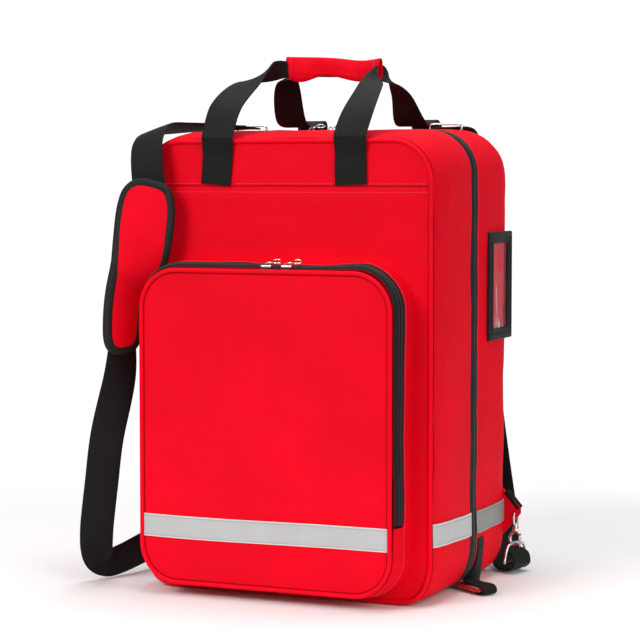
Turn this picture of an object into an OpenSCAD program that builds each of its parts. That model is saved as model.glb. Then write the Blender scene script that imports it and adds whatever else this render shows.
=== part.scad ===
// Trauma backpack: two padded shells joined by a zip, with a large front pocket,
// two carrying handles and two shoulder straps. Millimetres, +Z up, front faces -Y.
// The origin is on the floor, in the middle of the zip that joins the shells.

/* [Shells] */
// Width of both shells
body_w = 354; // [346:1:362]
// Height of both shells
body_h = 510; // [504:1:514]
// Depth of the front shell, from the zip to its front panel
front_depth = 114; // [112:1:115]
// Depth of the rear shell, from the zip to its back panel
rear_depth = 126; // [125:1:128]
// Radius of the shells' corners
corner_r = 48; // [42:1:52]
// Thickness of the padded walls
wall = 4; // [3:0.5:5]
// Thickness of the ventilated padding on the back
back_pad_t = 12; // [8:1:13]

/* [Front pocket] */
// Width of the front pocket
pocket_w = 300; // [290:1:304]
// Depth of the front pocket
pocket_depth = 46; // [44:1:48]
// Radius of the pocket's corners
pocket_r = 44; // [40:1:46]
// Height at which the pocket's front folds down
fold_z = 91; // [88:1:94]

/* [Webbing and trim] */
// Width of the handle and strap webbing
webbing_w = 38; // [34:1:38]
// Thickness of the webbing
webbing_t = 2.4; // [2:0.2:2.6]
// Radius of the piping cord
piping_r = 2.5; // [2:0.1:2.8]
// Width of the reflective tape
reflective_w = 25; // [20:1:26]

/* [Hidden] */
$fn = 48;

// Driving places
// The zip's two halves end here, either side of the lid's hinge line
rear_mouth = -0.2;
lid_mouth = -0.6;
tape_d = 8;
side_x = body_w / 2;
panel_w = body_w - 9;
panel_h = body_h - 9;
front_y = -front_depth;
pocket_x = -5;
pocket_z0 = 13;
pocket_z1 = 362;
pocket_y = front_y - pocket_depth;
band_t = 0.8;
flap_gap = 0.6;
tab_y = rear_depth - 5;
hook_x = side_x + 12;
leg_x = 79;
rear_leg_x = 75;
stitch_z0 = 452;
stitch_z1 = 487;
anchor_x = 122;
anchor_y = 62;
main_slider_x = [-18, 6];
pocket_slider_x = [-4, 20];
pocket_zip_y = pocket_y + 9.2;

// Smooth path through hand-placed points
steps = 4;
function unit(v) = v / norm(v);
function spline(a, b, c, d, s) =
    0.5 * (2 * b + (c - a) * s + (2 * a - 5 * b + 4 * c - d) * s * s + (3 * b - a - 3 * c + d) * s * s * s);
function smooth(p) = [
    for (i = [0 : len(p) - 2], k = [0 : steps - 1])
        spline(p[max(i - 1, 0)], p[i], p[i + 1], p[min(i + 2, len(p) - 1)], k / steps),
    p[len(p) - 1]
];
function tangent(p, i) = unit(p[min(i + 1, len(p) - 1)] - p[max(i - 1, 0)]);
function corners(c, t, u, w, h) =
    let (n = unit(cross(t, u)), a = unit(cross(n, t)))
    [
        c - a * w / 2 - n * h / 2,
        c + a * w / 2 - n * h / 2,
        c + a * w / 2 + n * h / 2,
        c - a * w / 2 + n * h / 2
    ];

// A flat band along points, each row holding its centre, its across direction and its width
module band(rows, h) {
    c = smooth([for (r = rows) r[0]]);
    u = smooth([for (r = rows) r[1]]);
    w = smooth([for (r = rows) r[2]]);
    n = len(c);
    points = [for (i = [0 : n - 1]) each corners(c[i], tangent(c, i), u[i], w[i], h)];
    sides = [
        for (i = [0 : n - 2], k = [0 : 3])
            each [
                [4 * i + k, 4 * i + 4 + (k + 1) % 4, 4 * i + (k + 1) % 4],
                [4 * i + k, 4 * i + 4 + k, 4 * i + 4 + (k + 1) % 4]
            ]
    ];
    last = 4 * n - 4;
    ends = [[0, 1, 2], [0, 2, 3], [last, last + 2, last + 1], [last, last + 3, last + 2]];
    polyhedron(points = points, faces = concat(sides, ends));
}

// Rounded outline of a shell, seen from the front
module outline(w, z0, z1, r) {
    translate([-w / 2 + r, z0]) square([w - 2 * r, z1 - z0]);
    translate([-w / 2, z0 + r]) square([w, z1 - z0 - 2 * r]);
    for (x = [-w / 2 + r, w / 2 - r], z = [z0 + r, z1 - r]) translate([x, z]) circle(r = r, $fn = 64);
}

module slab(w, z0, z1, r, y0, y1) {
    translate([0, y1, 0]) rotate([90, 0, 0]) linear_extrude(y1 - y0) outline(w, z0, z1, r);
}

module ring(w, z0, z1, r, t, y0, y1) {
    difference() {
        slab(w, z0, z1, r, y0, y1);
        slab(w - 2 * t, z0 + t, z1 - t, r - t, y0 - 1, y1 + 1);
    }
}

// Space above or below a height, to cut a piece at the pocket's fold
module above(z) { translate([-300, -300, z]) cube([600, 600, 600]); }
module below(z) { translate([-300, -300, z - 600]) cube([600, 600, 600]); }

// Round cord that runs once round a shell's outline, its centre line at width w
module piping(w, z0, z1, r, y, cord_r) {
    for (z = [z0, z1]) translate([-w / 2 + r, y, z]) rotate([0, 90, 0]) cylinder(r = cord_r, h = w - 2 * r);
    for (x = [-w / 2, w / 2]) translate([x, y, z0 + r]) cylinder(r = cord_r, h = z1 - z0 - 2 * r);
    turns = [
        [w / 2 - r, z1 - r, 0],
        [-w / 2 + r, z1 - r, 90],
        [-w / 2 + r, z0 + r, 180],
        [w / 2 - r, z0 + r, 270]
    ];
    for (t = turns)
        translate([t[0], y, t[1]]) rotate([90, -t[2], 0])
            rotate_extrude(angle = 90) translate([r, 0]) circle(r = cord_r, $fn = 32);
}

module box(x0, x1, y0, y1, z0, z1) { translate([x0, y0, z0]) cube([x1 - x0, y1 - y0, z1 - z0]); }

// ---- Rear shell ----
module rear_gusset() {
    color("firebrick") ring(body_w, 0, body_h, corner_r, wall, tape_d, rear_depth - wall);
}
module rear_zip_tape() { color("black") ring(body_w, 0, body_h, corner_r, 2, rear_mouth, tape_d); }
module back_panel() { color("dimgray") slab(body_w, 0, body_h, corner_r, rear_depth - wall, rear_depth); }
module back_padding() { color("black") slab(body_w - 64, 50, 442, 40, rear_depth, rear_depth + back_pad_t); }
board_y = rear_depth - wall - 2;
module back_board() {
    color("gray")
        slab(body_w - 2 * wall - 2, wall + 1, body_h - wall - 1, corner_r - wall - 1, board_y, board_y + 2);
}
module base_board() {
    color("gray") box(-side_x + corner_r, side_x - corner_r, 14, board_y, wall, wall + 2);
}
shelf_z = 246;
module shelf_divider() {
    color("red") box(-side_x + wall, side_x - wall, 16, board_y, shelf_z, shelf_z + 6);
}
module upright_divider() { color("red") box(-3, 3, 16, board_y, wall + 2, shelf_z); }

module side_band(y0, y1, z0) { box(side_x, side_x + band_t, y0, y1, z0, z0 + reflective_w); }
module both_sides() {
    children();
    mirror([1, 0, 0]) children();
}
band_z = 66;
module rear_side_bands() { color("silver") both_sides() side_band(tape_d, tab_y - 4.6, band_z); }

label_y = [40, 118];
label_z = [276, 399];
window_y = [56, 106];
window_z = [293, 386];
module label_frame() {
    color("black") difference() {
        box(side_x, side_x + 5, label_y[0], label_y[1], label_z[0], label_z[1]);
        box(side_x - 1, side_x + 6, window_y[0], window_y[1], window_z[0], window_z[1]);
        box(side_x + 2, side_x + 6, 84, 100, label_z[1] - 6, label_z[1] + 1);
    }
}
module label_window() {
    color("lightpink") box(side_x, side_x + 1, window_y[0], window_y[1], window_z[0], window_z[1]);
}

// ---- Handles: each has sewn ends and a loop that folds ----
module sewn_ends(x, y0, y1) {
    for (s = [-1, 1]) box(s * x - webbing_w / 2, s * x + webbing_w / 2, y0, y1, stitch_z0, stitch_z1);
}
module rear_handle_base() { color("black") sewn_ends(rear_leg_x, rear_depth, rear_depth + webbing_t); }
module front_handle_base() { color("black") sewn_ends(leg_x, front_y - webbing_t, front_y); }

leg_y = front_y - webbing_t / 2 - 0.3;
grip_w = 22;
front_handle_rows = [
    [[-leg_x, leg_y, stitch_z1 + 2.2], [1, 0, 0], webbing_w],
    [[-leg_x, -119.6, 496], [1, 0, 0], webbing_w],
    [[-78.5, -121, 501], [1, 0, 0], webbing_w],
    [[-78, -119.5, 508], [1, 0, 0], webbing_w],
    [[-75, -102, 540], [1, 0.1, 0], webbing_w],
    [[-68, -58, 567], [0.9, 0.4, 0.3], webbing_w - 4],
    [[-56, -18, 580], [0.5, 0.5, 0.8], 28],
    [[-38, 3, 582], [0, 0, 1], grip_w],
    [[8, 3, 582], [0, 0, 1], grip_w],
    [[54, 3, 582], [0, 0, 1], grip_w],
    [[70, -18, 578], [-0.5, 0.5, 0.8], 28],
    [[79, -58, 560], [-0.9, 0.4, 0.3], webbing_w - 4],
    [[82, -101, 534], [-1, 0.1, 0], webbing_w],
    [[80, -119.5, 508], [-1, 0, 0], webbing_w],
    [[79.5, -121, 501], [-1, 0, 0], webbing_w],
    [[leg_x, -119.6, 496], [-1, 0, 0], webbing_w],
    [[leg_x, leg_y, stitch_z1 + 2.2], [-1, 0, 0], webbing_w]
];
module front_handle_loop() { color("black") band(front_handle_rows, webbing_t); }

rear_leg_y = rear_depth + webbing_t / 2 + 0.3;
rear_handle_rows = [
    [[-rear_leg_x, rear_leg_y, stitch_z1 + 2.2], [1, 0, 0], webbing_w],
    [[-75, 128.8, 508], [1, 0, 0], webbing_w],
    [[-72, 126, 518], [1, 0, 0], webbing_w],
    [[-68, 112, 526], [1, 0, 0], webbing_w],
    [[-68, 84, 520], [1, 0, 0], webbing_w],
    [[-70, 60, 526], [1, 0, 0], webbing_w],
    [[-64, 36, 556], [0.9, 0.1, 0.2], webbing_w - 6],
    [[-54, 18, 578], [0.5, 0, 0.8], 26],
    [[-36, 11, 582], [0, 0, 1], grip_w],
    [[8, 11, 582], [0, 0, 1], grip_w],
    [[52, 11, 582], [0, 0, 1], grip_w],
    [[68, 18, 576], [-0.5, 0, 0.8], 26],
    [[78, 36, 554], [-0.9, 0.1, 0.2], webbing_w - 6],
    [[78, 60, 526], [-1, 0, 0], webbing_w],
    [[76, 84, 520], [-1, 0, 0], webbing_w],
    [[75, 112, 526], [-1, 0, 0], webbing_w],
    [[75, 126, 518], [-1, 0, 0], webbing_w],
    [[75, 128.8, 508], [-1, 0, 0], webbing_w],
    [[rear_leg_x, rear_leg_y, stitch_z1 + 2.2], [-1, 0, 0], webbing_w]
];
module rear_handle_loop() { color("black") band(rear_handle_rows, webbing_t); }

wrap_x = [-48, 66];
module handle_wrap() {
    color("red") difference() {
        box(wrap_x[0], wrap_x[1], -3, 7.4, 568, 597);
        box(wrap_x[0] - 1, wrap_x[1] + 1, 1, 5, 569.5, 595);
    }
}

// ---- Strap hardware, drawn for the right side and mirrored for the left ----
tab_edge = [[0, 99], [19, 77]];
eye_z = 63;
module ring_tab() {
    translate([side_x, tab_y + 2, 0]) rotate([90, 0, 0]) linear_extrude(4) difference() {
        polygon([[0, 44], [19, 70], tab_edge[1], tab_edge[0]]);
        translate([hook_x - side_x, eye_z + 8]) circle(r = 4);
    }
}
module ring_tab_right() { color("red") ring_tab(); }
module ring_tab_left() { color("red") mirror([1, 0, 0]) ring_tab(); }

// Webbing folded over the slanted edge of the tab
module tab_loop() {
    translate([side_x + 11, tab_y, 86.26]) rotate([0, 49.2, 0]) difference() {
        box(-9.6, 11.6, -4.3, 4.3, -5, 3);
        box(-11, 13, -2.1, 2.1, -6, 0.5);
    }
}
module tab_loop_right() { color("black") tab_loop(); }
module tab_loop_left() { color("black") mirror([1, 0, 0]) tab_loop(); }

// Swivel snap hook: round eye through the tab, barrel in the middle, open hook below,
// turned so that it crosses the strap's ring
hook_turn = -106.26;
hook_z = 39.5;
module hook_at(z) { translate([hook_x, tab_y, z]) rotate([0, 0, hook_turn]) children(); }
module snap_hook() {
    translate([hook_x, tab_y, eye_z]) rotate([0, 90, 0])
        rotate_extrude() translate([8, 0]) circle(r = 1.4, $fn = 32);
    translate([hook_x, tab_y, 48]) cylinder(r = 3.8, h = 6);
    hook_at(hook_z) rotate([0, 90, 0]) rotate([0, 0, 120])
        rotate_extrude(angle = 300) translate([8, 0]) circle(r = 1.8, $fn = 32);
}
module snap_hook_right() { color("silver") snap_hook(); }
module snap_hook_left() { color("silver") mirror([1, 0, 0]) snap_hook(); }

module snap_gate() { hook_at(hook_z - 2.4) translate([0, 6.93, 0]) cylinder(r = 1.1, h = 5.2); }
module snap_gate_right() { color("silver") snap_gate(); }
module snap_gate_left() { color("silver") mirror([1, 0, 0]) snap_gate(); }

module strap_ring() {
    hook_at(0) difference() {
        box(-22.5, 22.5, -1.5, 1.5, 12, 37);
        box(-19.5, 19.5, -2, 2, 15, 34.2);
    }
}
module strap_ring_right() { color("silver") strap_ring(); }
module strap_ring_left() { color("silver") mirror([1, 0, 0]) strap_ring(); }

// Webbing tabs and rings on the top of the rear shell, one for each strap
module anchor_tabs() {
    color("black") both_sides() difference() {
        box(anchor_x - 11, anchor_x + 11, anchor_y - 26, anchor_y + 26, body_h, body_h + 5.2);
        translate([anchor_x - 12, anchor_y, body_h + 3]) rotate([0, 90, 0]) cylinder(r = 1.9, h = 24);
    }
}
module anchor_rings() {
    color("silver") both_sides() translate([anchor_x, anchor_y, body_h + 3]) {
        translate([-20, 0, 0]) rotate([0, 90, 0]) cylinder(r = 1.8, h = 40);
        difference() {
            box(-21.8, 21.8, -1.6, 1.6, -1.6, 9.4);
            box(-18.2, 18.2, -2, 2, -2, 6.8);
        }
    }
}

// ---- Shoulder straps ----
left_upper_rows = [
    [[-anchor_x - 1, anchor_y - 2, 517.3], [0.95, -0.3, 0], webbing_w - 6],
    [[-130, 34, 517.6], [0.87, -0.45, 0.1], webbing_w - 2],
    [[-147, -8, 517], [0.93, -0.3, 0.2], webbing_w],
    [[-157, -60, 513], [0.9, -0.15, 0.3], webbing_w],
    [[-162, -104, 513], [0.92, 0, 0.3], webbing_w],
    [[-160, -131, 490], [0.97, 0.1, 0.1], webbing_w],
    [[-154, -137, 452], [0.985, 0.17, 0], webbing_w]
];
left_lower_rows = [
    [[-186, -143.5, 272], [0.45, 0.89, 0], webbing_w],
    [[-193, -138, 235], [0.7, 0.7, 0], webbing_w],
    [[-208, -140, 170], [0.9, 0.4, 0], webbing_w],
    [[-219, -134, 115], [0.9, 0.4, 0], webbing_w],
    [[-229, -128, 60], [0.9, 0.4, 0], webbing_w],
    [[-232, -120, 30], [0.75, 0.6, 0.2], webbing_w - 2],
    [[-229, -103, 19], [0.35, 0.5, 0.8], webbing_w - 4],
    [[-222, -78, 21], [0.1, 0.2, 1], webbing_w - 2],
    [[-214, -20, 30], [0, 0, 1], webbing_w],
    [[-216, 40, 32], [0, 0.2, 1], webbing_w],
    [[-217, 80, 30], [-0.1, 0.7, 0.7], webbing_w - 2],
    [[-211, 104, 26], [-0.28, 0.94, 0.2], webbing_w - 4],
    [[-200, 117, 25], [-0.28, 0.96, 0], webbing_w - 4],
    [[-186, 121.5, 25], [-0.28, 0.96, 0], webbing_w - 4]
];
pad_left_rows = [
    [[-152, -138, 458], [0.985, 0.17, 0], 34],
    [[-155, -139, 440], [0.985, 0.17, 0], 60],
    [[-158, -140, 415], [0.985, 0.17, 0], 66],
    [[-161, -142, 385], [0.97, 0.24, 0], 62],
    [[-167, -142, 364], [0.88, 0.47, 0], 56],
    [[-177, -143, 344], [0.62, 0.78, 0], 47],
    [[-182, -144, 324], [0.5, 0.87, 0], 46],
    [[-184, -144.5, 300], [0.45, 0.89, 0], 46],
    [[-185, -144, 280], [0.45, 0.89, 0], 44],
    [[-186, -143.5, 266], [0.45, 0.89, 0], 28]
];
right_upper_rows = [
    [[anchor_x, anchor_y - 2, 517.3], [1, 0, 0], webbing_w - 6],
    [[121, 92, 518.6], [1, 0, 0], webbing_w],
    [[120, 119, 515.5], [1, 0, 0], webbing_w],
    [[119, 134, 506], [1, 0, 0], webbing_w],
    [[118, 144, 486], [1, 0, 0], webbing_w],
    [[116, 156, 458], [1, 0, 0], webbing_w],
    [[116, 164, 436], [1, 0, 0], webbing_w]
];
pad_right_rows = [
    [[116, 164, 446], [1, 0, 0], 34],
    [[116, 164, 430], [1, 0, 0], 62],
    [[117, 164, 400], [1, 0, 0], 66],
    [[122, 164, 330], [1, 0, 0], 66],
    [[128, 164, 280], [1, 0, 0], 62],
    [[131, 164, 254], [1, 0, 0], 34]
];
right_lower_rows = [
    [[130, 164, 262], [1, 0, 0.1], webbing_w],
    [[136, 168, 200], [1, 0, 0.1], webbing_w],
    [[146, 172, 120], [1, 0, 0.1], webbing_w],
    [[154, 172, 62], [0.95, 0.2, 0.2], webbing_w],
    [[160, 163, 27], [0.8, 0.6, 0.1], webbing_w],
    [[168, 147, 10], [0.5, 0.85, 0], webbing_w - 2],
    [[177, 129, 4.2], [0.28, 0.96, 0], webbing_w - 4],
    [[189, 123, 4.4], [0.28, 0.96, 0], webbing_w - 4],
    [[197, 119.5, 11], [0.28, 0.96, 0], webbing_w - 4],
    [[195, 119.5, 22], [0.28, 0.96, 0], webbing_w - 4],
    [[186, 121.5, 27], [0.28, 0.96, 0], webbing_w - 4]
];
pad_t = 12;
module strap_left_upper() { color("black") band(left_upper_rows, webbing_t); }
module strap_left_lower() { color("black") band(left_lower_rows, webbing_t); }
module strap_right_upper() { color("black") band(right_upper_rows, webbing_t); }
module strap_right_lower() { color("black") band(right_lower_rows, webbing_t); }
module shoulder_pad_left() { color("red") band(pad_left_rows, pad_t); }
module shoulder_pad_right() { color("red") band(pad_right_rows, pad_t); }

// ---- Webbing tail and carabiner at the lower right side ----
// The tail hangs round the shell's corner and folds round the carabiner's far end
tail_rows = [
    [[side_x + 1.7, 24, 54], [0, 1, 0], 20],
    [[side_x + 1.7, 24, 44], [0, 1, 0], 20],
    [[side_x + 0.5, 24, 33], [0, 1, 0], 20],
    [[176.5, 22.5, 21], [0.1, 0.99, 0], 20],
    [[175.5, 15.5, 12.8], [0.3, 0.95, 0], 18],
    [[176, 2.5, 9.9], [0.6, 0.8, 0], 18],
    [[185, -8, 9.6], [0.6, 0.8, 0], 18],
    [[200, -19.8, 9.5], [0.6, 0.8, 0], 18],
    [[204.6, -23.2, 8.8], [0.6, 0.8, 0], 17],
    [[207, -26, 5.4], [0.6, 0.8, 0], 14],
    [[203, -24.7, 1.6], [0.6, 0.8, 0], 12],
    [[194.7, -18.4, 1.6], [0.6, 0.8, 0], 12]
];
tail_t = 2;
module side_tail() { color("black") band(tail_rows, tail_t); }
clip_outer = [[-24, -6], [-20, -10], [20, -10], [24, -6], [24, 6], [20, 10], [-20, 10], [-24, 6]];
clip_inner = [
    [-20.2, -4.6], [-18.4, -6.4], [18.4, -6.4], [20.2, -4.6],
    [20.2, 4.6], [18.4, 6.4], [-18.4, 6.4], [-20.2, 4.6]
];
module clip_at(z) { translate([side_x + 5.9, -10.8, z]) rotate([0, 0, -36.87]) children(); }
module carabiner() {
    color("red") clip_at(3) linear_extrude(4.6) difference() {
        polygon(clip_outer);
        polygon(clip_inner);
        translate([-14, 5]) square([29, 8]);
    }
}
module carabiner_gate() { color("red") clip_at(3.4) translate([-13.5, 6.6, 0]) cube([27, 3.2, 3.8]); }

// ---- Zip sliders and pulls ----
module slider(x, y, z) { translate([x - 6, y - 5, z]) cube([12, 10, 5]); }
module pull(x, y, z) {
    translate([x, y, z]) rotate([90, 0, 0]) translate([0, 0, -3]) cylinder(r = 1.2, h = 6);
    difference() {
        box(x, x + 22, y - 4, y + 4, z - 0.8, z + 0.8);
        translate([x + 16, y, z - 2]) cylinder(r = 2.4, h = 4);
        box(x - 1, x + 6, y - 2, y + 2, z - 2, z + 2);
    }
}
slider_z = body_h + flap_gap;
module main_slider_left() { color("silver") slider(main_slider_x[0], 0, slider_z); }
module main_slider_right() { color("silver") slider(main_slider_x[1], 0, slider_z); }
pull_z = slider_z + 6.6;
module main_pull_left() { color("silver") pull(main_slider_x[0], 0, pull_z); }
module main_pull_right() { color("silver") pull(main_slider_x[1], 0, pull_z); }
pocket_slider_z = pocket_z1 + flap_gap;
module pocket_slider_left() { color("silver") slider(pocket_slider_x[0], pocket_zip_y, pocket_slider_z); }
module pocket_slider_right() { color("silver") slider(pocket_slider_x[1], pocket_zip_y, pocket_slider_z); }
pocket_pull_z = pocket_slider_z + 6.6;
module pocket_pull_left() { color("silver") pull(pocket_slider_x[0], pocket_zip_y, pocket_pull_z); }
module pocket_pull_right() { color("silver") pull(pocket_slider_x[1], pocket_zip_y, pocket_pull_z); }

// ---- Front shell ----
module front_gusset() {
    color("red") ring(body_w, 0, body_h, corner_r, wall, front_y + wall, -tape_d);
}
module lid_zip_tape() { color("black") ring(body_w, 0, body_h, corner_r, 2, -tape_d, lid_mouth); }
module front_panel() { color("red") slab(body_w, 0, body_h, corner_r, front_y, front_y + wall); }
module front_piping() {
    color("crimson")
        piping(panel_w - 2 * piping_r, piping_r + 1, panel_h, corner_r - 8, front_y - piping_r, piping_r);
}
module front_side_bands() { color("silver") both_sides() side_band(front_y + 2, -tape_d, band_z); }
module lid_mesh_pocket() {
    color("gray") box(-140, 140, front_y + wall, front_y + wall + 2, 40, 250);
}
loop_pitch = 42;
module elastic_loops() {
    color("dimgray") for (i = [-2 : 2]) translate([i * loop_pitch, front_y + wall, 300]) difference() {
        cylinder(r = 16, h = 38);
        translate([0, 0, -1]) cylinder(r = 14.5, h = 40);
        translate([-20, -40, -1]) cube([40, 40, 40]);
    }
}

// ---- Front pocket: sides and lower panel stay, the flap folds down ----
module pocket_at() { translate([pocket_x, 0, 0]) children(); }
tape_y0 = pocket_y + wall;
tape_y1 = tape_y0 + 5;
tape_y2 = tape_y1 + 5.4;
module pocket_gusset() {
    color("firebrick") pocket_at() {
        ring(pocket_w, pocket_z0, pocket_z1, pocket_r, 2, tape_y2, front_y);
        intersection() {
            ring(pocket_w, pocket_z0, pocket_z1, pocket_r, 2, tape_y0, tape_y2);
            below(fold_z);
        }
    }
}
module pocket_inner_tape() {
    color("black") pocket_at() intersection() {
        ring(pocket_w, pocket_z0, pocket_z1, pocket_r, 1.6, tape_y1 + 0.4, tape_y2);
        above(fold_z);
    }
}
module pocket_lower_panel() {
    color("red") pocket_at() intersection() {
        slab(pocket_w - 2 * piping_r, pocket_z0, pocket_z1, pocket_r, pocket_y, tape_y0);
        below(fold_z);
    }
}
module edge_piping() {
    piping(pocket_w - 2 * piping_r, pocket_z0 + piping_r, pocket_z1 - piping_r, pocket_r - piping_r,
        pocket_y - piping_r, piping_r);
}
module pocket_lower_piping() {
    color("crimson") pocket_at() intersection() {
        edge_piping();
        below(fold_z);
    }
}
module reflective_band() {
    color("silver") pocket_at()
        box(-pocket_w / 2 + 2 * piping_r + 0.5, pocket_w / 2 - 2 * piping_r - 0.5,
            pocket_y - band_t, pocket_y, fold_z - 1 - reflective_w, fold_z - 1);
}
module pocket_flap() {
    color("red") pocket_at() intersection() {
        slab(pocket_w - 2 * piping_r, pocket_z0, pocket_z1, pocket_r, pocket_y, tape_y0);
        above(fold_z + flap_gap);
    }
}
module pocket_flap_piping() {
    color("crimson") pocket_at() intersection() {
        edge_piping();
        above(fold_z + flap_gap);
    }
}
module pocket_flap_tape() {
    color("black") pocket_at() intersection() {
        ring(pocket_w, pocket_z0, pocket_z1, pocket_r, 1.6, tape_y0, tape_y1);
        above(fold_z + flap_gap);
    }
}

rear_gusset();
rear_zip_tape();
back_panel();
back_padding();
back_board();
base_board();
shelf_divider();
upright_divider();
rear_side_bands();
label_frame();
label_window();
rear_handle_base();
rear_handle_loop();
ring_tab_left();
ring_tab_right();
tab_loop_left();
tab_loop_right();
snap_hook_left();
snap_hook_right();
snap_gate_left();
snap_gate_right();
strap_ring_left();
strap_ring_right();
anchor_tabs();
anchor_rings();
strap_left_upper();
strap_left_lower();
strap_right_upper();
strap_right_lower();
shoulder_pad_left();
shoulder_pad_right();
side_tail();
carabiner();
carabiner_gate();
main_slider_left();
main_slider_right();
main_pull_left();
main_pull_right();
front_gusset();
lid_zip_tape();
front_panel();
front_piping();
front_side_bands();
lid_mesh_pocket();
elastic_loops();
front_handle_base();
front_handle_loop();
handle_wrap();
pocket_gusset();
pocket_inner_tape();
pocket_lower_panel();
pocket_lower_piping();
reflective_band();
pocket_flap();
pocket_flap_piping();
pocket_flap_tape();
pocket_slider_left();
pocket_slider_right();
pocket_pull_left();
pocket_pull_right();
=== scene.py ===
"""Trauma backpack: the soft goods, trim and hardware round its CAD frame."""
import math
import bpy
import numpy as np
from mathutils import Matrix, Vector


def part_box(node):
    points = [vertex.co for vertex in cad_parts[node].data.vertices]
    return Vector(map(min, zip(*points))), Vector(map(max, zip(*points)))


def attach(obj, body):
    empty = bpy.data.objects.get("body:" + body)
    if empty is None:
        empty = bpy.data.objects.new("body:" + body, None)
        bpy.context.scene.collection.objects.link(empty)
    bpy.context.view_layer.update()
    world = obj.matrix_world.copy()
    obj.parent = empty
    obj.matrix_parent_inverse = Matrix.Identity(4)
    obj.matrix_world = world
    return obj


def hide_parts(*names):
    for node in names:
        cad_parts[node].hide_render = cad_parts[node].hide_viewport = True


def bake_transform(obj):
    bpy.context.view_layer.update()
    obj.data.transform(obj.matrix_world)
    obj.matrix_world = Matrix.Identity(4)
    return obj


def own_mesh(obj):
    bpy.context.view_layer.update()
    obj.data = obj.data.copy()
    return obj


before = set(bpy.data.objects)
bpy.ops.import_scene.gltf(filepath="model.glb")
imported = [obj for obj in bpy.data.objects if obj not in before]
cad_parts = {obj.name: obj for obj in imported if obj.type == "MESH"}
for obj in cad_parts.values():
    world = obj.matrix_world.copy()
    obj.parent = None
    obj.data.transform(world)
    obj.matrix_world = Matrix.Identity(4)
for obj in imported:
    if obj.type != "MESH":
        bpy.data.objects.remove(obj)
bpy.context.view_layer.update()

bl_info = {
    "name": "Trauma backpack",
    "version": (1, 0, 0),
    "blender": (4, 5, 0),
    "location": "View3D > Sidebar > Backpack",
    "description": "Makes the shells, pocket, straps, trim and hardware of a trauma backpack",
    "category": "Object",
}

MM = 0.001
UP = np.array([0.0, 0.0, 1.0])

# Places taken from the frame
SHELL_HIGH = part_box("rear_gusset")[1]
FRONT_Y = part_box("front_panel")[0].y
BACK_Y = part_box("back_panel")[1].y
HALF_W = SHELL_HIGH.x
TOP_Z = SHELL_HIGH.z
POCKET_LOW, POCKET_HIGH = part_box("pocket_gusset")
POCKET_X = (POCKET_LOW.x + POCKET_HIGH.x) / 2
POCKET_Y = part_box("pocket_lower_panel")[0].y
FOLD_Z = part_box("pocket_flap")[0].z
BAND_LOW, BAND_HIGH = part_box("reflective_band")
SIDE_BAND_LOW, SIDE_BAND_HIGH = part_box("rear_side_bands")
YOKE_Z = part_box("front_handle_base")[0].z
STITCH_TOP_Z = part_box("front_handle_base")[1].z


# ---------------------------------------------------------------------------
# Settings that a user would change
# ---------------------------------------------------------------------------
class BagSizes(bpy.types.PropertyGroup):
    """Sizes of the soft goods."""

    shell_crown: bpy.props.FloatProperty(
        name="Shell crown", description="How far the shells' sides bulge", default=3 * MM, unit="LENGTH"
    )
    pocket_crown: bpy.props.FloatProperty(
        name="Pocket crown", description="How far the pocket's front bulges", default=5 * MM, unit="LENGTH"
    )
    piping_radius: bpy.props.FloatProperty(
        name="Piping radius", description="Radius of the piping cord", default=2.5 * MM, unit="LENGTH"
    )
    webbing_thickness: bpy.props.FloatProperty(
        name="Webbing thickness", description="Thickness of straps and handles", default=2.2 * MM, unit="LENGTH"
    )
    coil_pitch: bpy.props.FloatProperty(
        name="Coil pitch", description="Distance between the zip's teeth", default=2.4 * MM, unit="LENGTH"
    )
    stitch_pitch: bpy.props.FloatProperty(
        name="Stitch pitch", description="Distance between stitches", default=3.6 * MM, unit="LENGTH"
    )


class BagColours(bpy.types.PropertyGroup):
    """Colours of the fabrics and trim."""

    red: bpy.props.FloatVectorProperty(
        name="Red fabric", description="Shells, pocket and pads", default=(0.80, 0.0016, 0.014), subtype="COLOR"
    )
    webbing: bpy.props.FloatVectorProperty(
        name="Webbing", description="Handles and straps", default=(0.0052, 0.0053, 0.0050), subtype="COLOR"
    )
    tape: bpy.props.FloatVectorProperty(
        name="Reflective tape", description="Middle of the tape", default=(0.50, 0.52, 0.52), subtype="COLOR"
    )
    thread: bpy.props.FloatVectorProperty(
        name="Red thread", description="Stitches on red fabric", default=(0.88, 0.10, 0.17), subtype="COLOR"
    )


def sizes():
    return bpy.context.scene.bag_sizes


def colours():
    return bpy.context.scene.bag_colours


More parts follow.
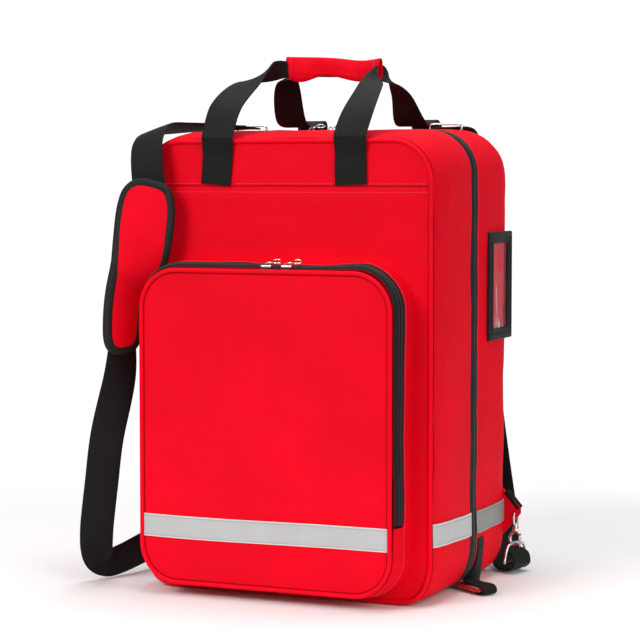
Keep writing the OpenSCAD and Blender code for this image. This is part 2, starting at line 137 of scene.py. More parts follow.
# ---------------------------------------------------------------------------
# Shader maths
# ---------------------------------------------------------------------------
class Signal:
    """A number that changes over a surface, held by a shader socket."""

    def __init__(self, finish, socket):
        self.finish = finish
        self.socket = socket

    def maths(self, operation, *others):
        inputs = {0: self}
        inputs.update({i + 1: other for i, other in enumerate(others)})
        return Signal(self.finish, self.finish.node("ShaderNodeMath", {"operation": operation}, inputs).outputs[0])

    def reflected(self, operation, other):
        node = self.finish.node("ShaderNodeMath", {"operation": operation}, {0: other, 1: self})
        return Signal(self.finish, node.outputs[0])

    def __add__(self, other):
        return self.maths("ADD", other)

    __radd__ = __add__

    def __mul__(self, other):
        return self.maths("MULTIPLY", other)

    __rmul__ = __mul__

    def __sub__(self, other):
        return self.maths("SUBTRACT", other)

    def __rsub__(self, other):
        return self.reflected("SUBTRACT", other)

    def __truediv__(self, other):
        return self.maths("DIVIDE", other)

    def __rtruediv__(self, other):
        return self.reflected("DIVIDE", other)

    def __pow__(self, other):
        return self.maths("POWER", other)

    def sine(self):
        return self.maths("SINE")

    def absolute(self):
        return self.maths("ABSOLUTE")

    def fraction(self):
        return self.maths("FRACT")

    def floor(self):
        return self.maths("FLOOR")

    def above(self, edge):
        return self.maths("GREATER_THAN", edge)

    def most(self, other):
        return self.maths("MAXIMUM", other)

    def ramp(self, low, high, to_low=0.0, to_high=1.0):
        """Goes smoothly from to_low to to_high as the number goes from low to high."""
        values = {"Value": self, "From Min": low, "From Max": high, "To Min": to_low, "To Max": to_high}
        node = self.finish.node("ShaderNodeMapRange", {"interpolation_type": "SMOOTHSTEP"}, values)
        return Signal(self.finish, node.outputs[0])


class Finish:
    """One material and the nodes that make its look."""

    def __init__(self, name):
        self.material = bpy.data.materials.new(name)
        self.material.use_nodes = True
        self.tree = self.material.node_tree
        self.tree.nodes.clear()
        self.output = self.node("ShaderNodeOutputMaterial")
        self.shader = self.node("ShaderNodeBsdfPrincipled")
        self.tree.links.new(self.shader.outputs[0], self.output.inputs[0])

    def node(self, kind, settings=None, inputs=None):
        """Adds a node, sets its settings, then gives its sockets their values or links."""
        node = self.tree.nodes.new(kind)
        for key, value in (settings or {}).items():
            setattr(node, key, value)
        for key, value in (inputs or {}).items():
            if isinstance(value, Signal):
                self.tree.links.new(value.socket, node.inputs[key])
            elif isinstance(value, bpy.types.NodeSocket):
                self.tree.links.new(value, node.inputs[key])
            else:
                node.inputs[key].default_value = value
        return node

    def split(self, vector):
        node = self.node("ShaderNodeSeparateXYZ", None, {0: vector})
        return [Signal(self, out) for out in node.outputs]

    def object_place(self):
        return self.node("ShaderNodeTexCoord").outputs["Object"]

    def cut_place(self):
        """The flat cut's own coordinates, in metres: along, across."""
        uv = self.node("ShaderNodeUVMap", {"uv_map": "cut"}).outputs[0]
        return self.split(uv)[:2]

    def noise(self, scale, detail=3.0, roughness=0.5, stretch=(1, 1, 1)):
        place = self.node("ShaderNodeMapping", None, {"Vector": self.object_place(), "Scale": stretch})
        values = {"Vector": place.outputs[0], "Scale": scale, "Detail": detail, "Roughness": roughness}
        return Signal(self, self.node("ShaderNodeTexNoise", None, values).outputs[0])

    def mix(self, factor, first, second):
        """Mixes two colours."""
        node = self.node("ShaderNodeMix", {"data_type": "RGBA"}, {"Factor": factor})
        for socket, colour in ((node.inputs[6], first), (node.inputs[7], second)):
            if isinstance(colour, bpy.types.NodeSocket):
                self.tree.links.new(colour, socket)
            else:
                socket.default_value = (*colour[:3], 1.0)
        return node.outputs[2]

    def bump(self, height, distance, strength=1.0):
        values = {"Height": height, "Distance": distance, "Strength": strength}
        return self.node("ShaderNodeBump", None, values).outputs[0]

    def surface(self, constants=None, **linked):
        """Feeds the shader: linked values vary over the surface, constants stay on its sockets."""
        for key, value in (constants or {}).items():
            self.shader.inputs[key].default_value = value
        for key, value in linked.items():
            socket = self.shader.inputs[key.replace("_", " ").title()]
            if isinstance(value, Signal):
                value = value.socket
            self.tree.links.new(value, socket)
        return self.material


def shade_of(colour, factor):
    return tuple(min(1.0, c * factor) for c in colour[:3])


FINISHES = {}
SHEEN_TINT = (1.0, 0.012, 0.06, 1.0)


def finish_for(name):
    """The material of that name, made once."""
    if name not in FINISHES:
        FINISHES[name] = MAKERS[name]()
    return FINISHES[name]


def woven(name, colour, pitch, roughness, sheen, depth, drift=0.16):
    """Basket-woven polyester: over-and-under yarns from the cut's own coordinates, with uneven dye and sheen."""
    f = Finish(name)
    along, across = f.cut_place()
    warp = (along * (2 * math.pi / pitch)).sine()
    weft = (across * (2 * math.pi / pitch)).sine()
    cross = warp * weft
    yarn = ((along + across) * (math.pi / pitch * 0.5)).sine() * 0.25
    weave = cross + yarn
    slow = f.noise(9.0, 4.0, 0.55)
    fine = f.noise(900.0, 2.0, 0.6)
    tone = weave.ramp(-1.2, 1.2, 0.25, 0.75) * 0.35 + slow * 0.5 + fine * 0.15
    base = f.mix(tone.ramp(0.25, 0.75), shade_of(colour, 1 - drift), shade_of(colour, 1 + drift))
    rough = (slow * 0.16 + fine * 0.1 + (roughness - 0.13)).maths("MINIMUM", 1.0)
    normal = f.bump(weave * 0.5 + fine * 0.35, depth, 0.8)
    constants = {
        "Sheen Weight": sheen,
        "Sheen Roughness": 0.4,
        "Sheen Tint": SHEEN_TINT,
        "Specular IOR Level": 0.05,
    }
    return f.surface(constants, base_color=base, roughness=rough, normal=normal)


def make_red_fabric():
    return woven("red_fabric", colours().red, 1.5 * MM, 0.52, 0.25, 0.16 * MM)


def make_red_side_fabric():
    return woven("red_side_fabric", shade_of(colours().red, 0.97), 1.5 * MM, 0.6, 0.08, 0.16 * MM)


def make_red_piping():
    return woven("red_piping", shade_of(colours().red, 1.05), 0.9 * MM, 0.40, 0.35, 0.08 * MM, 0.06)


def make_red_lining():
    return woven("red_lining", shade_of(colours().red, 0.62), 1.1 * MM, 0.6, 0.3, 0.1 * MM)


def thread_finish(name, dark, light, roughness, gloss):
    """Twisted sewing thread."""
    f = Finish(name)
    twist = f.noise(2600.0, 1.0)
    base = f.mix(twist, dark, light)
    return f.surface({"Specular IOR Level": gloss}, base_color=base, roughness=twist * 0.2 + roughness)


def make_red_thread():
    red = colours().thread
    return thread_finish("red_thread", shade_of(red, 0.8), shade_of(red, 1.15), 0.4, 0.15)


def make_seam_shade_line():
    """Deep red thread and the shaded line where two cloths meet."""
    return thread_finish("seam_shade_line", (0.27, 0.0008, 0.005), (0.42, 0.0014, 0.009), 0.6, 0.05)


def make_tape_thread():
    return thread_finish("tape_thread", (0.20, 0.07, 0.07), (0.36, 0.20, 0.19), 0.6, 0.1)


def make_black_thread():
    return thread_finish("black_thread", (0.008, 0.008, 0.008), (0.024, 0.024, 0.025), 0.45, 0.25)


def make_black_webbing():
    """Ribbed polyester webbing: lengthwise ribs crossed by a fine weft, with smoother edges."""
    f = Finish("black_webbing")
    along, across = f.cut_place()
    ribs = (across * (2 * math.pi / (2.1 * MM))).sine()
    shifted = along + ribs.above(0.0) * (0.75 * MM)
    weft = (shifted * (2 * math.pi / (1.5 * MM))).sine()
    weave = ribs * 0.55 + weft * 0.45
    slow = f.noise(14.0, 3.0)
    fine = f.noise(1200.0, 2.0)
    black = colours().webbing
    tone = weave.ramp(-1.0, 1.0) * 0.5 + slow * 0.35 + fine * 0.15
    base = f.mix(tone, shade_of(black, 0.55), shade_of(black, 1.75))
    rough = weave.ramp(-1.0, 1.0, 0.62, 0.46) + slow * 0.06
    normal = f.bump(weave * 0.5 + fine * 0.2, 0.28 * MM, 0.9)
    constants = {"Sheen Weight": 0.03, "Sheen Roughness": 0.35, "Specular IOR Level": 0.16}
    return f.surface(constants, base_color=base, roughness=rough, normal=normal)


def make_black_binding():
    f = Finish("black_binding")
    along, across = f.cut_place()
    ribs = ((along + across) * (2 * math.pi / (1.1 * MM))).sine()
    slow = f.noise(20.0, 3.0)
    base = f.mix(ribs.ramp(-1, 1) * 0.6 + slow * 0.4, (0.006, 0.006, 0.006), (0.020, 0.020, 0.020))
    normal = f.bump(ribs, 0.12 * MM, 0.8)
    return f.surface({"Specular IOR Level": 0.2}, base_color=base, roughness=slow * 0.15 + 0.42, normal=normal)


def make_zip_tape():
    f = Finish("zip_tape")
    along, across = f.cut_place()
    ribs = (along * (2 * math.pi / (1.0 * MM))).sine()
    rows = (across * (2 * math.pi / (1.3 * MM))).sine()
    slow = f.noise(18.0, 3.0)
    weave = ribs * 0.6 + rows * 0.4
    base = f.mix(weave.ramp(-1, 1) * 0.6 + slow * 0.4, (0.006, 0.006, 0.006), (0.018, 0.018, 0.018))
    normal = f.bump(weave, 0.14 * MM, 0.8)
    return f.surface({"Specular IOR Level": 0.18}, base_color=base, roughness=slow * 0.15 + 0.5, normal=normal)


def make_zip_coil():
    f = Finish("zip_coil")
    tone_and_highlight = f.noise(60.0, 3.0)
    fine = f.noise(1500.0, 2.0)
    # The coil's lighter grey stands in for the highlights along its teeth: a painted highlight, spread at random by the
    # noise.
    base = f.mix(tone_and_highlight * 0.7 + fine * 0.3, (0.012, 0.012, 0.012), (0.075, 0.075, 0.077))
    normal = f.bump(fine, 0.04 * MM)
    return f.surface({"Specular IOR Level": 0.35}, base_color=base, roughness=tone_and_highlight * 0.2 + 0.26, normal=normal)


def make_black_mesh():
    """Spacer mesh: a staggered pattern of round holes over a darker ground."""
    f = Finish("black_mesh")
    along, across = f.cut_place()
    pitch = 3.2 * MM
    row = (across * (1 / pitch)).floor()
    u = (along * (1 / pitch) + row * 0.5).fraction() - 0.5
    v = (across * (1 / pitch)).fraction() - 0.5
    hole = (u * u + v * v).ramp(0.05, 0.14)
    slow = f.noise(16.0, 3.0)
    fine = f.noise(1400.0, 2.0)
    base = f.mix(hole * 0.75 + slow * 0.25, (0.006, 0.006, 0.007), (0.036, 0.036, 0.039))
    normal = f.bump(hole * 0.8 + fine * 0.25, 0.5 * MM, 0.9)
    return f.surface({"Sheen Weight": 0.1}, base_color=base, roughness=slow * 0.12 + 0.62, normal=normal)


def make_grey_mesh():
    """Open net: thin knitted threads with see-through holes."""
    f = Finish("grey_mesh")
    along, across = f.cut_place()
    pitch = 3.6 * MM
    u = ((along + across) * (1 / pitch)).fraction() - 0.5
    v = ((along - across) * (1 / pitch)).fraction() - 0.5
    thread = u.absolute().most(v.absolute()).ramp(0.26, 0.34)
    slow = f.noise(20.0, 2.0)
    base = f.mix(slow, (0.03, 0.03, 0.032), (0.09, 0.09, 0.095))
    return f.surface({"Sheen Weight": 0.2}, base_color=base, roughness=slow * 0.1 + 0.6, alpha=thread * 0.9 + 0.1)


def beaded_tape(name, shade):
    """Retroreflective tape: a beaded grey face between paler woven edges."""
    f = Finish(name)
    along, across = f.cut_place()
    edge = across.absolute().ramp(10.9 * MM, 11.5 * MM)
    cell_u = (along + across) * (1 / (2.4 * MM))
    cell_v = (along - across) * (1 / (2.4 * MM))
    net = (cell_u.fraction() - 0.5).absolute().most((cell_v.fraction() - 0.5).absolute()).ramp(0.42, 0.5)
    slow = f.noise(26.0, 4.0)
    bead = f.noise(2500.0, 2.0)
    face = f.mix(slow * 0.6 + bead * 0.25 + net * 0.15, shade_of(colours().tape, 0.84 * shade),
                 shade_of(colours().tape, 1.16 * shade))
    base = f.mix(edge, face, (0.66 * shade, 0.72 * shade, 0.72 * shade))
    ribs = (along * (2 * math.pi / (1.0 * MM))).sine() * edge
    normal = f.bump(bead * 0.3 + ribs * 0.5 + net * 0.3, 0.1 * MM, 0.7)
    rough = slow * 0.2 + edge * 0.2 + 0.30
    return f.surface({"Specular IOR Level": 0.4}, base_color=base, roughness=rough, normal=normal)


def make_reflective_tape():
    return beaded_tape("reflective_tape", 1.0)


def make_rear_tape_shaded():
    # The same tape at half brightness for the rear side bands: painted shade.
    return beaded_tape("rear_tape_shaded", 0.5)


def make_elastic():
    f = Finish("elastic")
    along, across = f.cut_place()
    ribs = (across * (2 * math.pi / (1.8 * MM))).sine()
    slow = f.noise(30.0, 2.0)
    base = f.mix(ribs.ramp(-1, 1), (0.012, 0.012, 0.013), (0.05, 0.05, 0.053))
    normal = f.bump(ribs, 0.3 * MM)
    return f.surface({"Sheen Weight": 0.3}, base_color=base, roughness=slow * 0.1 + 0.6, normal=normal)


def moulded(name, dark, light, roughness, grain, constants=None):
    """Moulded plastic with a fine spark-eroded grain and slight wear."""
    f = Finish(name)
    slow = f.noise(35.0, 4.0)
    fine = f.noise(1800.0, 3.0, 0.6)
    base = f.mix(slow * 0.7 + fine * 0.3, dark, light)
    normal = f.bump(fine, grain)
    return f.surface(constants or {}, base_color=base, roughness=slow * 0.16 + fine * 0.1 + roughness, normal=normal)


def make_black_plastic():
    return moulded("black_plastic", (0.007, 0.007, 0.008), (0.018, 0.019, 0.020), 0.34, 0.05 * MM,
                   {"Specular IOR Level": 0.25})


def make_red_plastic():
    values = {"Coat Weight": 0.35, "Coat Roughness": 0.12, "Subsurface Weight": 0.05}
    return moulded("red_plastic", (0.55, 0.006, 0.012), (0.78, 0.015, 0.025), 0.18, 0.02 * MM, values)


def make_stiffener():
    return moulded("stiffener", (0.10, 0.10, 0.105), (0.16, 0.16, 0.165), 0.45, 0.08 * MM)


def make_nickel():
    f = Finish("nickel")
    slow = f.noise(50.0, 4.0)
    scratch = f.noise(240.0, 3.0, 0.7, (1, 9, 1))
    base = f.mix(slow, (0.62, 0.60, 0.57), (0.86, 0.85, 0.83))
    normal = f.bump(scratch, 0.02 * MM, 0.5)
    return f.surface({"Metallic": 1.0}, base_color=base, roughness=scratch * 0.14 + slow * 0.1 + 0.08, normal=normal)


def make_clear_sheet():
    f = Finish("clear_sheet")
    crease = f.noise(24.0, 3.0, 0.6, (1, 2.5, 0.35))
    streak = crease.ramp(0.52, 0.60) * crease.ramp(0.70, 0.60)
    base = f.mix(streak, (0.80, 0.16, 0.20), (1.0, 0.80, 0.82))
    normal = f.bump(crease, 1.2 * MM, 0.6)
    return f.surface({"Coat Weight": 0.6, "Coat Roughness": 0.05}, base_color=base, roughness=crease * 0.1 + 0.06,
                     alpha=streak * 0.55 + 0.22, normal=normal)


def make_floor():
    f = Finish("floor")
    x, y, _ = f.split(f.object_place())
    reach = (x * x + y * y) ** 0.5
    slow = f.noise(1.5, 2.0)
    base = f.mix(slow, (0.88, 0.88, 0.88), (0.90, 0.90, 0.90))
    return f.surface({"Specular IOR Level": 0.05}, base_color=base, roughness=slow * 0.1 + 0.7,
                     alpha=reach.ramp(0.5, 1.15, 1.0, 0.0))


MAKERS = {
    "red_fabric": make_red_fabric, "red_side_fabric": make_red_side_fabric, "red_piping": make_red_piping,
    "red_lining": make_red_lining, "red_thread": make_red_thread, "black_thread": make_black_thread,
    "seam_shade_line": make_seam_shade_line, "tape_thread": make_tape_thread,
    "black_webbing": make_black_webbing, "black_binding": make_black_binding,
    "zip_tape": make_zip_tape, "zip_coil": make_zip_coil, "black_mesh": make_black_mesh,
    "grey_mesh": make_grey_mesh, "elastic": make_elastic,
    "reflective_tape": make_reflective_tape, "rear_tape_shaded": make_rear_tape_shaded,
    "black_plastic": make_black_plastic, "red_plastic": make_red_plastic, "stiffener": make_stiffener,
    "nickel": make_nickel, "clear_sheet": make_clear_sheet, "floor": make_floor,
}


# ---------------------------------------------------------------------------
# Working with objects
# ---------------------------------------------------------------------------
def only(obj):
    """Leaves obj alone selected and active, in object mode."""
    if bpy.context.mode != "OBJECT":
        bpy.ops.object.mode_set(mode="OBJECT")
    bpy.ops.object.select_all(action="DESELECT")
    obj.select_set(True)
    bpy.context.view_layer.objects.active = obj


def modify(obj, kind, **settings):
    """Adds a modifier and applies it."""
    only(obj)
    modifier = obj.modifiers.new(kind.title(), kind)
    for key, value in settings.items():
        setattr(modifier, key, value)
    bpy.ops.object.modifier_apply(modifier=modifier.name)
    return obj


def smooth(obj, angle=None):
    only(obj)
    if angle is None:
        bpy.ops.object.shade_smooth()
    else:
        bpy.ops.object.shade_smooth_by_angle(angle=math.radians(angle))
    return obj


def dress(obj, finish, slot, body, *nodes):
    """Gives a piece its material, record slot, body and the nodes that it stands for."""
    obj.data.materials.clear()
    obj.data.materials.append(finish_for(finish))
    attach(obj, body)
    if nodes:
        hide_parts(*nodes)
    return obj


def write_cut(mesh, cut):
    """Gives each point its place on the flat cloth, in metres."""
    while mesh.uv_layers:
        mesh.uv_layers.remove(mesh.uv_layers[0])
    layer = mesh.uv_layers.new(name="cut")
    index = np.empty(len(mesh.loops), dtype=np.int32)
    mesh.loops.foreach_get("vertex_index", index)
    layer.data.foreach_set("uv", np.asarray(cut, float).reshape(-1, 2)[index].astype(np.float32).ravel())


def mesh_piece(name, points, faces, cut=None):
    """A new object from points and faces, with its place on the flat cloth."""
    mesh = bpy.data.meshes.new(name)
    mesh.from_pydata(np.asarray(points, float).reshape(-1, 3).tolist(), [], [tuple(map(int, f)) for f in faces])
    if cut is not None:
        write_cut(mesh, cut)
    mesh.validate()
    obj = bpy.data.objects.new(name, mesh)
    bpy.context.scene.collection.objects.link(obj)
    return obj


def run_lengths(points):
    """Distance along rows of points, from the first."""
    steps = np.linalg.norm(np.diff(points, axis=0), axis=-1)
    return np.concatenate([np.zeros((1,) + steps.shape[1:]), np.cumsum(steps, axis=0)])


def line_at(spots, reach, line):
    """Points of a line at distances along it; reach holds its own points' distances."""
    return np.stack([np.interp(spots, reach, line[:, k]) for k in range(3)], axis=1)


def lay(name, grid, cut=None, closed=False):
    """A cloth surface from a grid of points, rows by columns; closed joins the last column to the first."""
    grid = np.asarray(grid, float)
    rows, columns = grid.shape[:2]
    if cut is None:
        along = run_lengths(grid).mean(axis=1)
        across = run_lengths(grid.transpose(1, 0, 2)).mean(axis=1)
        cut = np.stack(np.meshgrid(along, across, indexing="ij"), axis=-1)
    i, j = np.meshgrid(np.arange(rows - 1), np.arange(columns if closed else columns - 1), indexing="ij")
    i, j = i.ravel(), j.ravel()
    k = (j + 1) % columns
    faces = np.stack([i * columns + j, i * columns + k, (i + 1) * columns + k, (i + 1) * columns + j], axis=1)
    return mesh_piece(name, grid, faces, cut)


def edited(obj, operator, **settings):
    """Runs an edit mode operator on the whole of a piece."""
    only(obj)
    bpy.ops.object.mode_set(mode="EDIT")
    bpy.ops.mesh.select_all(action="SELECT")
    operator(**settings)
    bpy.ops.object.mode_set(mode="OBJECT")
    return obj


def outward(obj):
    """Makes a closed piece's faces point outwards."""
    return edited(obj, bpy.ops.mesh.normals_make_consistent, inside=False)


def merge(obj):
    """Joins the points that lie on each other."""
    return edited(obj, bpy.ops.mesh.remove_doubles, threshold=0.00001)


def thick(obj, thickness, offset=-1.0):
    """Gives a cloth surface its thickness; -1 grows it behind the surface."""
    modify(obj, "SOLIDIFY", thickness=thickness, offset=offset, use_even_offset=False)
    return outward(obj)


def joined(name, objects):
    """Joins objects into one piece."""
    only(objects[0])
    for other in objects[1:]:
        other.select_set(True)
    bpy.ops.object.join()
    objects[0].name = name
    objects[0].data.name = name
    return objects[0]


# ---------------------------------------------------------------------------
# Shapes of cloth
# ---------------------------------------------------------------------------
def ripple(points, scale, seed):
    """Smooth uneven value from -1 to 1 at points, the same on every run."""
    chance = np.random.default_rng(seed)
    ways = chance.normal(size=(7, 3))
    ways *= (2 * math.pi / scale) / np.linalg.norm(ways, axis=1)[:, None] * chance.uniform(0.6, 1.6, 7)[:, None]
    phases = chance.uniform(0, 2 * math.pi, 7)
    return np.sin(np.asarray(points) @ ways.T + phases).sum(axis=-1) / 4.0


def step(value, low, high):
    s = np.clip((value - low) / (high - low), 0, 1)
    return s * s * (3 - 2 * s)


def bell(value, centre, width):
    return np.exp(-(((value - centre) / width) ** 2))


def eased(x, xs, ys):
    """Smooth curve through a few points."""
    xs, ys = np.asarray(xs, float), np.asarray(ys, float)
    slopes = np.gradient(ys, xs)
    x = np.clip(x, xs[0], xs[-1])
    k = np.clip(np.searchsorted(xs, x, side="right") - 1, 0, len(xs) - 2)
    h = xs[k + 1] - xs[k]
    s = (x - xs[k]) / h
    return ((2 * s**3 - 3 * s**2 + 1) * ys[k] + (s**3 - 2 * s**2 + s) * h * slopes[k]
            + (3 * s**2 - 2 * s**3) * ys[k + 1] + (s**3 - s**2) * h * slopes[k + 1])


def places(straight, corner, first=0, last=8):
    """Places round an outline: eight stretches, straight and corner by turns, from the bottom left."""
    runs = []
    for k in range(first, last):
        n = corner if k % 2 else straight
        runs.append((k + np.arange(n) / n) / 8)
    if last - first < 8:
        runs.append([last / 8])
    return np.concatenate(runs)


def outline(half, low, high, radius, t):
    """Points (x, z) and outward directions of a rounded rectangle at places t, anticlockwise from the front."""
    t = np.mod(t, 1.0) * 8
    k = np.floor(t).astype(int)
    f = t - k
    angle = (k // 2 - 1 + f) * math.pi / 2
    inner_x = np.where((k == 1) | (k == 3) | (k == 2), half - radius, -half + radius)
    inner_z = np.where((k == 3) | (k == 5) | (k == 4), high - radius, low + radius)
    x = inner_x + radius * np.cos(angle)
    z = inner_z + radius * np.sin(angle)
    nx, nz = np.cos(angle), np.sin(angle)
    flat = half - radius
    flat_x = np.select([k == 0, k == 2, k == 4], [(2 * f - 1) * flat, half, (1 - 2 * f) * flat], -half)
    tall = high - low - 2 * radius
    flat_z = np.select([k == 0, k == 2, k == 4], [low, low + radius + f * tall, high], high - radius - f * tall)
    even = k % 2 == 0
    x, z = np.where(even, flat_x, x), np.where(even, flat_z, z)
    nx = np.where(even, np.select([k == 2, k == 6], [1.0, -1.0], 0.0), nx)
    nz = np.where(even, np.select([k == 0, k == 4], [-1.0, 1.0], 0.0), nz)
    return x, z, nx, nz


class Shell:
    """The outside of a bag shell: a rounded outline that changes with depth, crowned along its sides."""

    def __init__(self, stations, crown, wrinkle, seed, centre_x=0.0):
        self.y, self.half, self.low, self.high, self.radius = (np.array(c, float) * MM for c in zip(*stations))
        self.crown = crown
        self.wrinkle = wrinkle
        self.seed = seed
        self.centre_x = centre_x

    def at(self, t, y, lift=0.0):
        """Points at places t and depths y, lifted off the surface."""
        t, y = np.broadcast_arrays(np.asarray(t, float), np.asarray(y, float))
        half = eased(y, self.y, self.half)
        low = eased(y, self.y, self.low)
        high = eased(y, self.y, self.high)
        radius = eased(y, self.y, self.radius)
        x, z, nx, nz = outline(half, low, high, radius, t)
        f = np.mod(t, 1.0) * 8
        along = np.clip((f - 1.5) / 5.0, 0, 1)
        depth = (y - self.y[0]) / (self.y[-1] - self.y[0])
        bulge = self.crown * np.sin(math.pi * along) ** 0.5 * np.sin(math.pi * np.clip(depth, 0, 1)) ** 0.7
        points = np.stack([x, y, z], axis=-1)
        off = np.clip((z - 12 * MM) / (60 * MM), 0, 1)
        bulge = bulge + self.wrinkle * off * ripple(points, 95 * MM, self.seed)
        bulge = bulge + 0.35 * self.wrinkle * off * ripple(points, 34 * MM, self.seed + 1)
        points[..., 0] += nx * (bulge + lift) + self.centre_x
        points[..., 2] += nz * (bulge + lift)
        if self.centre_x == 0:
            points[..., 2] = settled(points[..., 2])
        return points

    def facing(self, t):
        """Outward directions at places t."""
        _, _, nx, nz = outline(self.half[0], self.low[0], self.high[0], self.radius[0], np.asarray(t, float))
        return np.stack([nx, np.zeros_like(nx), nz], axis=-1)

    def side(self, z, right=True):
        """Place on a side at height z."""
        low, high, radius = self.low[0], self.high[0], self.radius[0]
        f = (z - low - radius) / (high - low - 2 * radius)
        return (2 + f) / 8 if right else (7 - f) / 8


def settled(z):
    """The bag's weight presses its lower corners towards the floor."""
    s = np.clip((z - 3 * MM) / (44 * MM), 0, 1)
    return z - 34 * MM * s * (1 - s) ** 2


LID = Shell(
    [(-117, 171.5, 2, 500.5, 45), (-112, 173.5, 1, 503, 46), (-96, 176, 0.3, 506, 47), (-60, 177.5, 0.2, 509.5, 48),
     (-14, 178, 1, 511.5, 48), (-0.6, 178, 2.3, 512, 48)],
    2.6 * MM, 0.8 * MM, 11)
REAR = Shell(
    [(-0.2, 178, 2.3, 512, 48), (14, 178, 1, 512, 48), (60, 178, 0.2, 512, 48), (104, 176.5, 0.6, 510, 47),
     (119, 172.5, 3, 505.5, 44), (125.5, 166, 9, 499, 39)],
    2.4 * MM, 0.9 * MM, 23)
POCKET = Shell(
    [(-158, 149, 13.6, 361.5, 43), (-152, 151.8, 12, 364, 44.5), (-142, 154.6, 11, 366.4, 46),
     (-124, 155, 10.5, 367.5, 46), (-114, 155, 10, 368, 46)],
    0.8 * MM, 1.1 * MM, 37, POCKET_X)


def spread(low, high, radius, middle, corner, extra=()):
    """Grid lines across a panel, closer together at its rounded corners and at extra places."""
    lines = np.concatenate([
        np.linspace(low, low + radius, corner, endpoint=False),
        np.linspace(low + radius, high - radius, middle, endpoint=False),
        np.linspace(high - radius, high, corner + 1), np.asarray(extra, float)])
    return np.unique(np.round(lines, 6))


def panel_grid(half, low, high, radius, middle, corner, extra_z=()):
    """Even grid over a rounded rectangle: x and z, and how far each point is from the middle, -1 to 1."""
    xs = spread(-half, half, radius, middle, corner)
    zs = spread(low, high, radius, middle, corner, extra_z)
    x, z = np.meshgrid(xs, zs, indexing="ij")
    u, v = x / half, (z - (low + high) / 2) / ((high - low) / 2)
    a = np.clip((np.abs(x) - (half - radius)) / radius, 0, 1)
    b = np.clip(np.maximum(low + radius - z, z - high + radius) / radius, 0, 1)
    x = np.sign(x) * (np.minimum(np.abs(x), half - radius) + radius * a * np.sqrt(1 - b * b / 2))
    top = z > (low + high) / 2
    inner = np.clip(z, low + radius, high - radius)
    z = inner + np.where(top, 1, -1) * radius * b * np.sqrt(1 - a * a / 2)
    return x, z, u, v


def pillow(u, v, fullness=3.0):
    """From 0 at a panel's edge to 1 over its middle."""
    return (np.clip(1 - np.abs(u) ** fullness, 0, 1) * np.clip(1 - np.abs(v) ** fullness, 0, 1)) ** 0.7


def tube(name, path, radius, sides=10, closed=True):
    """A round cord along points; a closed one joins its ends."""
    path = np.asarray(path, float)
    if closed:
        ahead, behind = np.roll(path, -1, axis=0), np.roll(path, 1, axis=0)
    else:
        ahead = np.vstack([path[1:], path[-1:]])
        behind = np.vstack([path[:1], path[:-1]])
    tangent = ahead - behind
    tangent /= np.linalg.norm(tangent, axis=1)[:, None]
    guide = np.array([0.0, 1.0, 0.0]) if np.abs(tangent[:, 1]).max() < 0.9 else np.array([1.0, 0.0, 0.0])
    first = np.cross(tangent, guide)
    first /= np.linalg.norm(first, axis=1)[:, None]
    second = np.cross(tangent, first)
    angle = np.arange(sides) / sides * 2 * math.pi
    rings = (path[:, None] + radius * (np.cos(angle)[None, :, None] * first[:, None]
                                       + np.sin(angle)[None, :, None] * second[:, None]))
    if closed:
        rings = np.concatenate([rings, rings[:1]])
    along = run_lengths(np.concatenate([path, path[:1]]) if closed else path)
    cut = np.stack(np.meshgrid(along, radius * angle, indexing="ij"), axis=-1)
    obj = lay(name, rings, cut, closed=True)
    return smooth(outward(merge(obj)) if closed else cap_tube(obj))


def curve_through(points, per=8):
    """Smooth path through hand-placed points, the same rule as the CAD bands."""
    p = np.asarray(points, float)
    out = []
    for i in range(len(p) - 1):
        a, b, c, d = p[max(i - 1, 0)], p[i], p[i + 1], p[min(i + 2, len(p) - 1)]
        s = np.linspace(0, 1, per, endpoint=False)[:, None]
        out.append(0.5 * (2 * b + (c - a) * s + (2 * a - 5 * b + 4 * c - d) * s**2 + (3 * b - a - 3 * c + d) * s**3))
    out.append(p[-1:])
    return np.concatenate(out)


def band_frame(rows, per):
    """Centres, across and facing directions and widths along a band's rows, which are in millimetres."""
    centre = curve_through([r[0] for r in rows], per) * MM
    across = curve_through([r[1] for r in rows], per)
    width = curve_through([[r[2]] for r in rows], per)[:, 0] * MM
    tangent = np.gradient(centre, axis=0)
    tangent /= np.linalg.norm(tangent, axis=1)[:, None]
    facing = np.cross(tangent, across)
    facing /= np.linalg.norm(facing, axis=1)[:, None]
    across = np.cross(facing, tangent)
    across /= np.linalg.norm(across, axis=1)[:, None]
    return centre, across, facing, width


def webbing(name, rows, thickness, per=8, bow=0.0):
    """A flat woven band with rounded selvedges along rows of centre, across direction and width."""
    centre, across, facing, width = band_frame(rows, per)
    half_t = thickness / 2
    spots = [-1.0, -0.985, -0.93, -0.6, -0.2, 0.2, 0.6, 0.93, 0.985, 1.0]
    lifts = [0.25, 0.75, 1.0, 0.93, 0.93, 0.93, 0.93, 1.0, 0.75, 0.25]
    profile = list(zip(spots, lifts)) + [(s, -h) for s, h in reversed(list(zip(spots, lifts)))]
    rings, cuts = [], []
    along = run_lengths(centre)
    for i in range(len(centre)):
        sag = bow * math.sin(along[i] / (23 * MM)) * 0.4 + bow
        ring = [centre[i] + across[i] * (s * width[i] / 2) + facing[i] * (h * half_t + sag * (1 - s * s))
                for s, h in profile]
        rings.append(ring)
        cuts.append([(along[i], s * width[i] / 2) for s, _ in profile])
    obj = lay(name, rings, np.array(cuts), closed=True)
    count = len(profile)
    close_ends(obj, count)
    return smooth(outward(obj))


